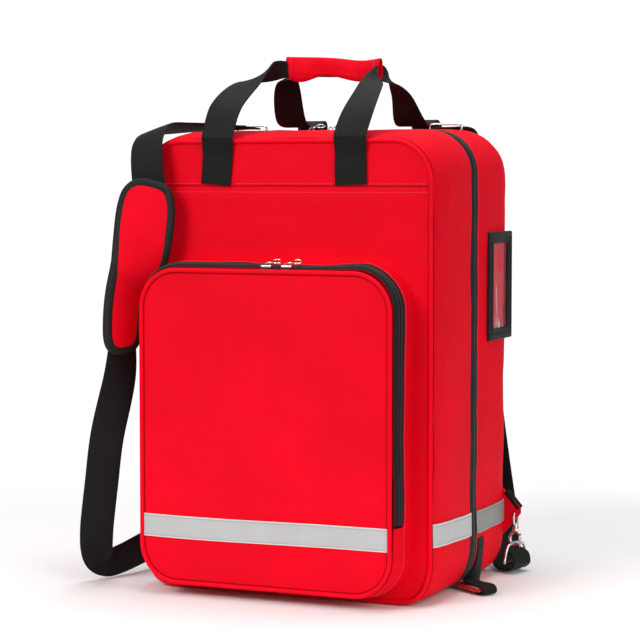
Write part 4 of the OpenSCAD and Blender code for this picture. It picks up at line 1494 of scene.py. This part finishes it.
def make_reflective():
    xs = np.linspace(BAND_LOW.x - 1.5 * MM, BAND_HIGH.x + 1.5 * MM, 150)
    zs = np.linspace(BAND_LOW.z, BAND_HIGH.z, 14)
    x, z = np.meshgrid(xs, zs, indexing="ij")
    droop = 1.2 * MM * np.sin((x - POCKET_X) / (52 * MM)) * 0.6
    y = pocket_front_y(x, z) - 0.9 * MM - 0.35 * MM * ripple(np.stack([x, x * 0, z], -1), 40 * MM, 71)
    grid = np.stack([x, y, z + droop], axis=-1)
    middle = (BAND_LOW.z + BAND_HIGH.z) / 2
    band = lay("pocket_reflective_band", grid, np.stack([x, z - middle], axis=-1))
    thick(band, 0.7 * MM, 1.0)
    dress(smooth(band, 50), "reflective_tape", "reflective_tape", "lid", "reflective_band")
    runs = []
    for k in (1, 12):
        runs.append((grid[:, k] + np.array([0, -0.85 * MM, 0]), (0, -1, 0)))
    thread = stitches("pocket_band_stitching", runs, 2.8 * MM, 1.5 * MM, 0.42 * MM)
    dress(thread, "tape_thread", "reflective_tape", "lid")
    side_bands("lid_side_bands", LID, np.linspace(-114.5, -9.8, 30) * MM, "lid", "front_side_bands", -4.5 * MM)
    side_bands("rear_side_bands_tape", REAR, np.linspace(9.4, 119, 30) * MM, "root", "rear_side_bands", -1.5 * MM)


def side_bands(name, shell, ys, body, node, fall):
    """Tape across both sides of a shell, falling a little towards the zip."""
    parts, runs = [], []
    wide = SIDE_BAND_HIGH.z - SIDE_BAND_LOW.z
    vs = np.linspace(-wide / 2, wide / 2, 10)
    slope = np.linspace(0, 1, len(ys)) if body == "lid" else np.linspace(1, 0, len(ys))
    for right in (True, False):
        z = (SIDE_BAND_LOW.z + wide / 2 - 1 * MM) + slope[:, None] * fall + vs[None, :]
        grid = shell.at(shell.side(z, right), np.broadcast_to(ys[:, None], z.shape), 0.9 * MM)
        cut = np.stack(np.meshgrid(ys, vs, indexing="ij"), axis=-1)
        parts.append(thick(lay(name, grid, cut), 0.7 * MM, -1.0 if right else 1.0))
        face = (1, 0, 0) if right else (-1, 0, 0)
        for k in (1, 8):
            runs.append((grid[:, k] + np.array(face) * 0.8 * MM, face))
    # The rear shell's bands take the half-bright copy of the tape: painted shade.
    finish = "reflective_tape" if body == "lid" else "rear_tape_shaded"
    dress(smooth(outward(joined(name, parts)), 50), finish, "reflective_tape", body, node)
    thread = stitches(name + "_stitching", runs, 2.8 * MM, 1.5 * MM, 0.42 * MM)
    dress(thread, "tape_thread", "reflective_tape", body)


def make_seams():
    """Rows of thread along the seams: the yoke, both sides of the main zip and behind the pocket zip."""
    pitch = sizes().stitch_pitch
    lid_runs, root_runs = [], []
    xs = np.linspace(-168, 168, 200) * MM
    for dz, half in ((1.6 * MM, 168), (-7.5 * MM, 168)):
        z = np.full_like(xs, YOKE_Z + dz)
        keep = np.abs(np.abs(xs) - 79.5 * MM) > (20 * MM if dz > 0 else 0)
        for run in np.split(np.arange(len(xs)), np.where(np.diff(keep.astype(int)) != 0)[0] + 1):
            if keep[run[0]] and len(run) > 2:
                line = np.stack([xs[run], front_panel_y(xs[run], z[run]) - 0.1 * MM, z[run]], axis=-1)
                lid_runs.append((line, (0, -1, 0)))
    dress(stitches("yoke_seams", lid_runs, pitch), "red_thread", "red_fabric", "lid")
    # A thin deep red cord just under the yoke's seam: painted shade below the fold, not thread.
    fold_y = front_panel_y(xs, xs * 0 + YOKE_Z - 1 * MM) - 0.2 * MM
    fold = np.stack([xs, fold_y, np.full_like(xs, YOKE_Z - 0.9 * MM)], axis=-1)
    dress(tube("yoke_fold_shade", fold, 0.36 * MM, 6, closed=False), "seam_shade_line", "red_fabric", "lid")
    t = places(60, 20)
    around = np.append(t, t[0] + 1)
    lid_runs = [(shell.at(around, y * MM, 0.2 * MM), shell.facing(around))
                for shell, y in ((LID, -12.4), (POCKET, -139.5))]
    root_runs = [(REAR.at(around, 12.0 * MM, 0.2 * MM), REAR.facing(around))]
    for name, runs, body in (("lid_seams", lid_runs, "lid"), ("rear_seams", root_runs, "root")):
        dress(stitches(name, runs, pitch, radius=0.42 * MM), "red_thread", "red_fabric", body)


def make_label_holder():
    """Moulded frame with stepped rims round a clear window."""
    low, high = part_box("label_frame")
    window_low, window_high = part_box("label_window")
    lean = 1.5 * MM
    middle = ((low.x + high.x) / 2 + lean, (low.y + high.y) / 2, (low.z + high.z) / 2)
    body = block(middle, (high.x - low.x + 1 * MM, high.y - low.y, high.z - low.z))
    bpy.ops.object.mode_set(mode="EDIT")
    bpy.ops.mesh.select_mode(type="FACE")
    bpy.ops.mesh.select_all(action="DESELECT")
    bpy.ops.object.mode_set(mode="OBJECT")
    for face in body.data.polygons:
        face.select = abs(face.normal.x) > 0.9
    bpy.ops.object.mode_set(mode="EDIT")
    bpy.ops.mesh.inset(thickness=13 * MM, use_individual=True)
    bpy.ops.mesh.bridge_edge_loops()
    bpy.ops.object.mode_set(mode="OBJECT")
    body.data.update()
    modify(body, "BEVEL", width=1.6 * MM, segments=3, limit_method="ANGLE")
    raised = []
    for inset, thick_rim, lift in ((5.0, 1.1, 0.4), (10.0, 1.0, 0.0)):
        path = rim_path(low, high, inset * MM, 5 * MM)
        path[:, 0] = high.x + lean + lift * MM
        raised.append(tube("rim", path, thick_rim * MM, 8))
    frame_piece = joined("label_holder", [body] + raised)
    dress(smooth(frame_piece, 40), "black_plastic", "black_plastic", "root", "label_frame")
    ys = np.linspace(low.y + 12 * MM, high.y - 12 * MM, 26)
    zs = np.linspace(low.z + 12 * MM, high.z - 12 * MM, 44)
    y, z = np.meshgrid(ys, zs, indexing="ij")
    points = np.stack([y * 0, y, z], axis=-1)
    x = low.x + 3.4 * MM + 0.5 * MM * ripple(points, 60 * MM, 81)
    sheet = lay("label_cover", np.stack([x, y, z], axis=-1), np.stack([y, z], axis=-1))
    thick(sheet, 0.4 * MM)
    dress(smooth(sheet), "clear_sheet", "clear_sheet", "root", "label_window")


def rim_path(low, high, inset, radius):
    """Rounded rectangle in Y and Z, inset from a box."""
    t = places(10, 6)
    half = (high.y - low.y) / 2 - inset
    x, z, _, _ = outline(half, low.z + inset, high.z - inset, radius, t)
    return np.stack([x * 0, x + (low.y + high.y) / 2, z], axis=-1)


def flat_path(centre, half_a, half_b, radius, plane):
    """Rounded rectangle round a centre in the plane of two axes, such as 'xz'."""
    t = places(8, 8)
    a, b, _, _ = outline(half_a, -half_b, half_b, radius, t)
    path = np.zeros((len(t), 3))
    path[:, "xyz".index(plane[0])] = a
    path[:, "xyz".index(plane[1])] = b
    return path + np.asarray(centre)


def make_hardware():
    for side, sign in (("left", -1), ("right", 1)):
        gate_low, gate_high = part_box("snap_gate_" + side)
        low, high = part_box("snap_hook_" + side)
        tab_low, tab_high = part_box("ring_tab_" + side)
        x = sign * (min(abs(gate_low.x), abs(gate_high.x)) + 1.1 * MM - 0.96 * 6.93 * MM)
        y = (tab_low.y + tab_high.y) / 2
        eye_z, hook_z = high.z - 9.4 * MM, low.z + 9.8 * MM
        angle = np.arange(32) / 32 * 2 * math.pi
        circle = np.stack([angle * 0, np.cos(angle), np.sin(angle)], axis=1)
        eye = tube("eye", np.array([x, y, eye_z]) + 8 * MM * circle, 1.4 * MM, 10)
        barrel = rod((x, y, hook_z + 11.6 * MM), 3.8 * MM, 5.4 * MM, 28, 0.8 * MM, 3)
        only_none()
        knob_place = (x, y, eye_z - 7.6 * MM)
        bpy.ops.mesh.primitive_uv_sphere_add(segments=20, ring_count=12, radius=2.9 * MM, location=knob_place)
        knob = settle(bpy.context.object)
        out = np.array([sign * 0.96, -0.28, 0])
        turn = np.linspace(math.radians(30), math.radians(330), 40)[:, None]
        arc = np.array([x, y, hook_z]) + 8 * MM * (np.cos(turn) * out + np.sin(turn) * UP)
        hook = tube("hook", arc, 1.8 * MM, 12, closed=False)
        piece = joined("snap_hook_%s_body" % side, [eye, barrel, knob, hook])
        dress(smooth(piece, 40), "nickel", "nickel", "root", "snap_hook_" + side)
        centre = np.array([x, y, (gate_low.z + gate_high.z) / 2]) + 6.93 * MM * out
        gate = rod(centre, 1.1 * MM, gate_high.z - gate_low.z, 20, 0.4 * MM, 2)
        dress(smooth(gate, 40), "nickel", "nickel", "snap_gate_" + side, "snap_gate_" + side)
        make_strap_ring(side, sign, x, y)
        make_ring_tab(side, sign, x, eye_z + 8 * MM)
        make_tab_loop(side, sign)
    make_anchors()


def make_strap_ring(side, sign, x, y):
    """Ring with a straight lower bar for the strap and a rounded top that hangs in the hook."""
    low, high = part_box("strap_ring_" + side)
    along = np.array([sign * -0.28, -0.96, 0])
    bottom, top, half = low.z + 1.5 * MM, high.z - 1.5 * MM, 21 * MM
    profile = [(-half, bottom), (0, bottom), (half, bottom), (half, bottom + 6 * MM), (half * 0.8, top - 5 * MM),
               (half * 0.42, top - 0.6 * MM), (0, top), (-half * 0.42, top - 0.6 * MM),
               (-half * 0.8, top - 5 * MM), (-half, bottom + 6 * MM)]
    path = np.array([np.array([x, y, 0]) + a * along + b * UP for a, b in profile])
    path = curve_through(np.concatenate([path, path[:1]]), 8)[:-1]
    dress(tube("strap_ring_%s_wire" % side, path, 1.6 * MM, 12), "nickel", "nickel", "root", "strap_ring_" + side)


def make_ring_tab(side, sign, hole_x, hole_z):
    """Stiff triangular tab of doubled fabric, with an eyelet near its tip."""
    low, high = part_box("ring_tab_" + side)
    root_x = HALF_W - 3 * MM
    tip_x = max(abs(low.x), abs(high.x))
    y = (low.y + high.y) / 2
    rows = []
    for s in np.linspace(0, 1, 24):
        z0 = low.z + s * 26 * MM
        z1 = high.z - s * 22 * MM
        rows.append([[sign * (root_x + s * (tip_x - root_x)), y - 1.4 * MM - 0.5 * MM * math.sin(v * math.pi) * (1 - s),
                      z0 + v * (z1 - z0)] for v in np.linspace(0, 1, 30)])
    obj = lay("ring_tab_%s_fabric" % side, np.array(rows))
    thick(obj, 2.8 * MM, 1.0 if sign < 0 else -1.0)
    dress(smooth(obj, 50), "red_fabric", "red_fabric", "root", "ring_tab_" + side)
    parts = [wire_loop((hole_x, y + face * 1.7 * MM, hole_z), 3.4 * MM, 0.9 * MM, turn=(math.pi / 2, 0, 0))
             for face in (-1, 1)]
    dress(smooth(joined("ring_tab_%s_eyelet" % side, parts)), "nickel", "nickel", "root")


def make_tab_loop(side, sign):
    """Webbing folded over the slanted edge of the tab and sewn through it."""
    low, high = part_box("tab_loop_" + side)
    centre = np.array([sign * (HALF_W + 9 * MM), (low.y + high.y) / 2, (low.z + high.z) / 2 + 0.5 * MM])
    along = np.array([sign * 0.654, 0, -0.757])
    out = np.array([sign * 0.757, 0, 0.654])
    profile = [(-5.5, -3.2), (-2, -3.5), (1, -3.3), (2.6, -1.8), (3.0, 0), (2.6, 1.8), (1, 3.3), (-2, 3.5), (-5.5, 3.2)]
    line = curve_through([(a, b, 0) for a, b in profile], 4) * MM
    spots = np.linspace(-12.5, 12.5, 11) * MM
    grid = (centre + line[:, None, :1] * out + line[:, None, 1:2] * np.array([0, 1, 0])
            + spots[None, :, None] * along)
    cut = np.stack(np.meshgrid(run_lengths(line), spots, indexing="ij"), axis=-1)
    obj = lay("tab_loop_%s_webbing" % side, grid, cut)
    thick(obj, 1.8 * MM, 0.0)
    dress(smooth(obj, 50), "black_webbing", "black_webbing", "root", "tab_loop_" + side)


def make_anchors():
    low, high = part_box("anchor_rings")
    tab_low, tab_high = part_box("anchor_tabs")
    rings, tabs = [], []
    for sign in (-1, 1):
        x = sign * (high.x - 21.8 * MM)
        y = (low.y + high.y) / 2
        rings.append(tube("ring", flat_path((x, y, TOP_Z + 6.8 * MM), 19 * MM, 4.2 * MM, 3.4 * MM, "xz"), 1.3 * MM, 12))
        line = [(tab_low.y, 2.2), (tab_low.y + 8 * MM, 2.4), (y - 6 * MM, 3.0), (y, 4.7), (y + 6 * MM, 3.0),
                (tab_high.y - 8 * MM, 2.4), (tab_high.y, 2.2)]
        rows = [((x / MM, yy / MM, TOP_Z / MM + zz), (1, 0, 0), 24) for yy, zz in line]
        tabs.append(webbing("tab", rows, 1.6 * MM, 6))
    dress(joined("anchor_rings_wire", rings), "nickel", "nickel", "root", "anchor_rings")
    dress(joined("anchor_tabs_webbing", tabs), "black_webbing", "black_webbing", "root", "anchor_tabs")


SIDE_TAIL = [
    ((179.4, 24, 56), (0, 1, 0), 20), ((179.2, 24, 44), (0, 1, 0), 20), ((178, 24, 33), (0, 1, 0), 20),
    ((176.5, 22.5, 21), (0.1, 0.99, 0), 20), ((175.5, 15.5, 12.8), (0.3, 0.95, 0), 18),
    ((176, 2.5, 10), (0.6, 0.8, 0), 19), ((185, -8, 9.8), (0.6, 0.8, 0), 20),
    ((200, -19.8, 9.8), (0.6, 0.8, 0.1), 20), ((205.4, -23.8, 8.6), (0.6, 0.8, 0.1), 19),
    ((207.8, -26, 5.4), (0.6, 0.8, 0.05), 18), ((204.5, -24.7, 2), (0.6, 0.8, 0), 17),
    ((194.7, -18.4, 1.6), (0.6, 0.8, 0), 15)]


def make_side_tail():
    """Webbing tail sewn low on the right side and folded round a plastic carabiner on the floor."""
    tail = webbing("side_tail_webbing", SIDE_TAIL, 1.8 * MM, 8)
    dress(tail, "black_webbing", "black_webbing", "root", "side_tail")
    low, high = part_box("carabiner")
    centre = np.array([(low.x + high.x) / 2, (low.y + high.y) / 2, (low.z + high.z) / 2])
    along, out = np.array([0.8, -0.6, 0]), np.array([0.6, 0.8, 0])
    t = places(8, 8)
    a, b, _, _ = outline(21.9 * MM, -7.9 * MM, 7.9 * MM, 5 * MM, t)
    gap = (b > 6 * MM) & (a > -14 * MM) & (a < 14.5 * MM)
    first = int(np.where(gap & ~np.roll(gap, -1))[0][0]) + 1
    a, b, gap = np.roll(a, -first), np.roll(b, -first), np.roll(gap, -first)
    ring = centre + a[~gap, None] * along + b[~gap, None] * out
    ends = [centre + 15 * MM * along + 7.9 * MM * out, centre - 14.4 * MM * along + 7.9 * MM * out]
    near = 0 if np.linalg.norm(ring[0] - ends[0]) < np.linalg.norm(ring[0] - ends[1]) else 1
    ring = np.concatenate([[ends[near]], ring, [ends[1 - near]]])
    body = tube("carabiner_body", ring, 2.2 * MM, 14, closed=False)
    dress(body, "red_plastic", "red_plastic", "root", "carabiner")
    gate_line = [centre + k * 13 * MM * along + 8.0 * MM * out for k in (-1, -0.3, 0.4, 1)]
    gate = tube("carabiner_gate_bar", np.array(gate_line), 1.7 * MM, 14, closed=False)
    dress(gate, "red_plastic", "red_plastic", "carabiner_gate", "carabiner_gate")


def padded_board(name, low, high, crown, flat_axis):
    """A padded panel in a box: rounded all round and a little crowned on its two faces."""
    middle = [(a + b) / 2 for a, b in zip(low, high)]
    obj = block(middle, [b - a for a, b in zip(low, high)])
    modify(obj, "BEVEL", width=min(obj.dimensions) * 0.42, segments=3)
    edited(obj, bpy.ops.mesh.subdivide, number_cuts=14)
    others = [k for k in range(3) if k != flat_axis]
    for v in obj.data.vertices:
        share = 1.0
        for k in others:
            share *= max(0.0, 1 - abs((v.co[k] - middle[k]) / ((high[k] - low[k]) / 2)) ** 4)
        side = 1 if v.co[flat_axis] > middle[flat_axis] else -1
        v.co[flat_axis] += side * crown * share
    cut_by_facing(obj)
    obj.name = name
    return smooth(obj, 50)


def make_interior():
    low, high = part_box("shelf_divider")
    shelf = padded_board("shelf_panel", low, high, 1.5 * MM, 2)
    dress(shelf, "red_lining", "red_lining", "root", "shelf_divider")
    low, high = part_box("upright_divider")
    upright = padded_board("upright_panel", low, high, 1.5 * MM, 0)
    dress(upright, "red_lining", "red_lining", "root", "upright_divider")
    for node in ("back_board", "base_board"):
        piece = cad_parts[node]
        piece.data.materials.clear()
        piece.data.materials.append(finish_for("stiffener"))
    low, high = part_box("lid_mesh_pocket")
    x, z = np.meshgrid(np.linspace(low.x, high.x, 60), np.linspace(low.z, high.z, 40), indexing="ij")
    belly = np.clip((z - low.z) / (high.z - low.z), 0, 1)
    y = low.y + (1.0 + 6.5 * belly**1.5 * (1 - ((x - (low.x + high.x) / 2) / ((high.x - low.x) / 2)) ** 4)) * MM
    y = y + 0.8 * MM * np.sin(x / (9 * MM)) * belly**3
    net = lay("lid_net", np.stack([x, y, z], axis=-1), np.stack([x, z], axis=-1))
    thick(net, 0.6 * MM, 1.0)
    dress(smooth(net), "grey_mesh", "grey_mesh", "lid", "lid_mesh_pocket")
    tall = float(run_lengths(np.stack([y, z], axis=-1).transpose(1, 0, 2))[-1].mean())
    top = tube("lid_net_binding", np.stack([x[:, -1], y[:, -1], z[:, -1]], axis=-1), 2.2 * MM, 10, closed=False)
    dress(top, "black_binding", "black_webbing", "lid")
    make_elastic_loops()


def make_elastic_loops():
    low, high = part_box("elastic_loops")
    count = 5
    pitch = (high.x - low.x - 32 * MM) / (count - 1)
    parts = []
    for i in range(count):
        x = low.x + 16 * MM + i * pitch
        angle = np.linspace(0.04, math.pi - 0.04, 22)
        path = np.stack([x + 15.2 * MM * np.cos(angle), low.y + 15.0 * MM * np.sin(angle)], axis=-1)
        zs = np.linspace(low.z, high.z, 12)
        grid = np.zeros((len(path), len(zs), 3))
        grid[..., :2] = path[:, None]
        grid[..., 2] = zs[None]
        along = run_lengths(grid[:, 0])
        obj = lay("loop", grid, np.stack(np.meshgrid(along, zs, indexing="ij"), axis=-1))
        parts.append(thick(obj, 1.3 * MM, 0.0))
    dress(smooth(joined("vial_loops", parts), 50), "elastic", "elastic", "lid", "elastic_loops")


def make_back_padding():
    """Ventilated back pad: swollen as cloth, then pressed in along its channels."""
    low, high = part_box("back_padding")
    middle = (0, (low.y + high.y) / 2 - 1 * MM, (low.z + high.z) / 2)
    pad = block(middle, (high.x - low.x - 6 * MM, 9 * MM, high.z - low.z - 6 * MM))
    edited(pad, bpy.ops.mesh.subdivide, number_cuts=10)
    half_x, half_z = (high.x - low.x) / 2 - 3 * MM, (high.z - low.z) / 2 - 3 * MM
    t = places(30, 10)
    x, z, _, _ = outline(half_x, middle[2] - half_z, middle[2] + half_z, 36 * MM, t)
    corner = 36 * MM
    for v in pad.data.vertices:
        dx, dz = abs(v.co.x), abs(v.co.z - middle[2])
        a, b = (dx - half_x + corner) / corner, (dz - half_z + corner) / corner
        if a > 0 and b > 0:
            up = half_z - corner + corner * b * math.sqrt(1 - a * a / 2)
            v.co.x = math.copysign(half_x - corner + corner * a * math.sqrt(1 - b * b / 2), v.co.x)
            v.co.z = middle[2] + math.copysign(up, v.co.z - middle[2])
    rim = np.stack([x, np.full_like(x, middle[1]), z], axis=-1)
    modify(pad, "REMESH", mode="VOXEL", voxel_size=5 * MM)
    swell(pad, spaced(rim, 5 * MM), 2.5, 6 * MM, 10 * MM)
    for v in pad.data.vertices:
        dx, dz = abs(v.co.x), abs(v.co.z - middle[2])
        channel = math.exp(-((dx / (7 * MM)) ** 2)) + 0.8 * math.exp(-((((dz % (96 * MM)) - 48 * MM) / (6 * MM)) ** 2))
        if v.co.y > middle[1]:
            v.co.y -= min(1.0, channel) * 5.0 * MM
        v.co.y = max(v.co.y, BACK_Y + 0.6 * MM)
    cut_by_facing(pad)
    pad.name = "back_cushion"
    dress(pad, "black_mesh", "black_mesh", "root", "back_padding")
    edge = spaced(np.stack([x * 1.004, np.full_like(x, BACK_Y + 2.4 * MM), z], axis=-1), 5 * MM)
    dress(tube("back_cushion_binding", edge, 2.4 * MM, 8), "black_binding", "black_webbing", "root")


# ---------------------------------------------------------------------------
# Stage
# ---------------------------------------------------------------------------
CAMERA_TURN = math.radians(23.4)
CAMERA_REACH = 2461 * MM
CAMERA_SIDE = -6.9 * MM
CAMERA_HEIGHT = 463 * MM
CAMERA_DIP = math.radians(3.84)
CAMERA_LENS = 121.4
LIGHTS = (("key", (-1.2, -2.8, 2.2), 1.6, 69), ("fill", (2.6, -1.4, 1.4), 2.0, 35),
          ("top", (0.1, 0.3, 2.8), 1.8, 48))
WORLD_LIGHTING = 0.36
WORLD_SEEN = 1.05


def make_stage():
    scene = bpy.context.scene
    scene.view_settings.view_transform = "Standard"
    only_none()
    bpy.ops.mesh.primitive_plane_add(size=14, location=(0, 0, 0))
    floor = bpy.context.object
    floor.name = "studio_floor"
    floor.data.materials.append(finish_for("floor"))
    world = bpy.data.worlds.new("studio")
    scene.world = world
    world.use_nodes = True
    tree = world.node_tree
    rays = tree.nodes.new("ShaderNodeLightPath")
    strength = tree.nodes.new("ShaderNodeMapRange")
    strength.inputs["To Min"].default_value = WORLD_LIGHTING
    strength.inputs["To Max"].default_value = WORLD_SEEN
    tree.links.new(rays.outputs["Is Camera Ray"], strength.inputs["Value"])
    tree.links.new(strength.outputs[0], tree.nodes["Background"].inputs[1])
    tree.nodes["Background"].inputs[0].default_value = (1, 1, 1, 1)
    for name, place, size, power in LIGHTS:
        light = bpy.data.lights.new(name, "AREA")
        light.size = size
        light.energy = power
        obj = bpy.data.objects.new(name, light)
        scene.collection.objects.link(obj)
        obj.location = place
        obj.rotation_euler = (Vector((0, 0, 0.25)) - Vector(place)).to_track_quat("-Z", "Y").to_euler()
    camera = bpy.data.cameras.new("camera")
    camera.lens = CAMERA_LENS
    obj = bpy.data.objects.new("camera", camera)
    scene.collection.objects.link(obj)
    c, s = math.cos(CAMERA_TURN), math.sin(CAMERA_TURN)
    obj.location = (CAMERA_SIDE * c + CAMERA_REACH * s, CAMERA_SIDE * s - CAMERA_REACH * c, CAMERA_HEIGHT)
    obj.rotation_euler = (math.pi / 2 - CAMERA_DIP, 0, CAMERA_TURN)
    scene.camera = obj


# ---------------------------------------------------------------------------
# Operators and panel
# ---------------------------------------------------------------------------
def step_operator(key, label, text, *makers):
    """An operator class that runs the makers of one group of pieces."""

    def execute(self, context):
        for maker in makers:
            maker()
        return {"FINISHED"}

    fields = {"bl_idname": "backpack." + key, "bl_label": label, "__doc__": text, "execute": execute}
    return type("BACKPACK_OT_" + key, (bpy.types.Operator,), fields)


STEPS = [
    step_operator("stage", "Stage", "Make the floor, lights and camera", make_stage),
    step_operator("rear_shell", "Rear shell", "Make the rear shell and back face", make_rear_shell, make_back),
    step_operator("lid", "Lid", "Make the front shell and its panel", make_lid_shell, make_lid_front),
    step_operator("pocket", "Pocket", "Make the front pocket", make_pocket),
    step_operator("zips", "Zips", "Make the zips, sliders and pulls", make_main_zip, make_pocket_zip, make_sliders),
    step_operator("handles", "Handles", "Make the handles and grip sleeve", make_handles, make_wrap),
    step_operator("straps", "Straps", "Make the shoulder straps", make_straps),
    step_operator("pads", "Pads", "Make the shoulder pads", make_pads),
    step_operator("reflective", "Reflective tape", "Make the reflective bands", make_reflective),
    step_operator("seams", "Seams", "Make the seam stitching", make_seams),
    step_operator("label", "Label holder", "Make the label holder", make_label_holder),
    step_operator("hardware", "Hardware", "Make the hooks, rings and tabs", make_hardware),
    step_operator("tail", "Side tail", "Make the webbing tail and carabiner", make_side_tail),
    step_operator("interior", "Interior", "Make the dividers, net and loops", make_interior),
    step_operator("back", "Back padding", "Make the back padding", make_back_padding),
]


class BACKPACK_PT_pieces(bpy.types.Panel):
    """Lists the backpack's pieces."""

    bl_idname = "BACKPACK_PT_pieces"
    bl_label = "Trauma backpack"
    bl_space_type = "VIEW_3D"
    bl_region_type = "UI"
    bl_category = "Backpack"

    def draw(self, context):
        for operator in STEPS:
            self.layout.operator(operator.bl_idname)


CLASSES = [BagSizes, BagColours] + STEPS + [BACKPACK_PT_pieces]


def register():
    for each in CLASSES:
        bpy.utils.register_class(each)
    bpy.types.Scene.bag_sizes = bpy.props.PointerProperty(type=BagSizes)
    bpy.types.Scene.bag_colours = bpy.props.PointerProperty(type=BagColours)


def unregister():
    del bpy.types.Scene.bag_colours
    del bpy.types.Scene.bag_sizes
    for each in reversed(CLASSES):
        bpy.utils.unregister_class(each)


def main():
    register()
    for operator in STEPS:
        getattr(bpy.ops.backpack, operator.bl_idname.split(".")[1])()


if __name__ == "__main__":
    main()
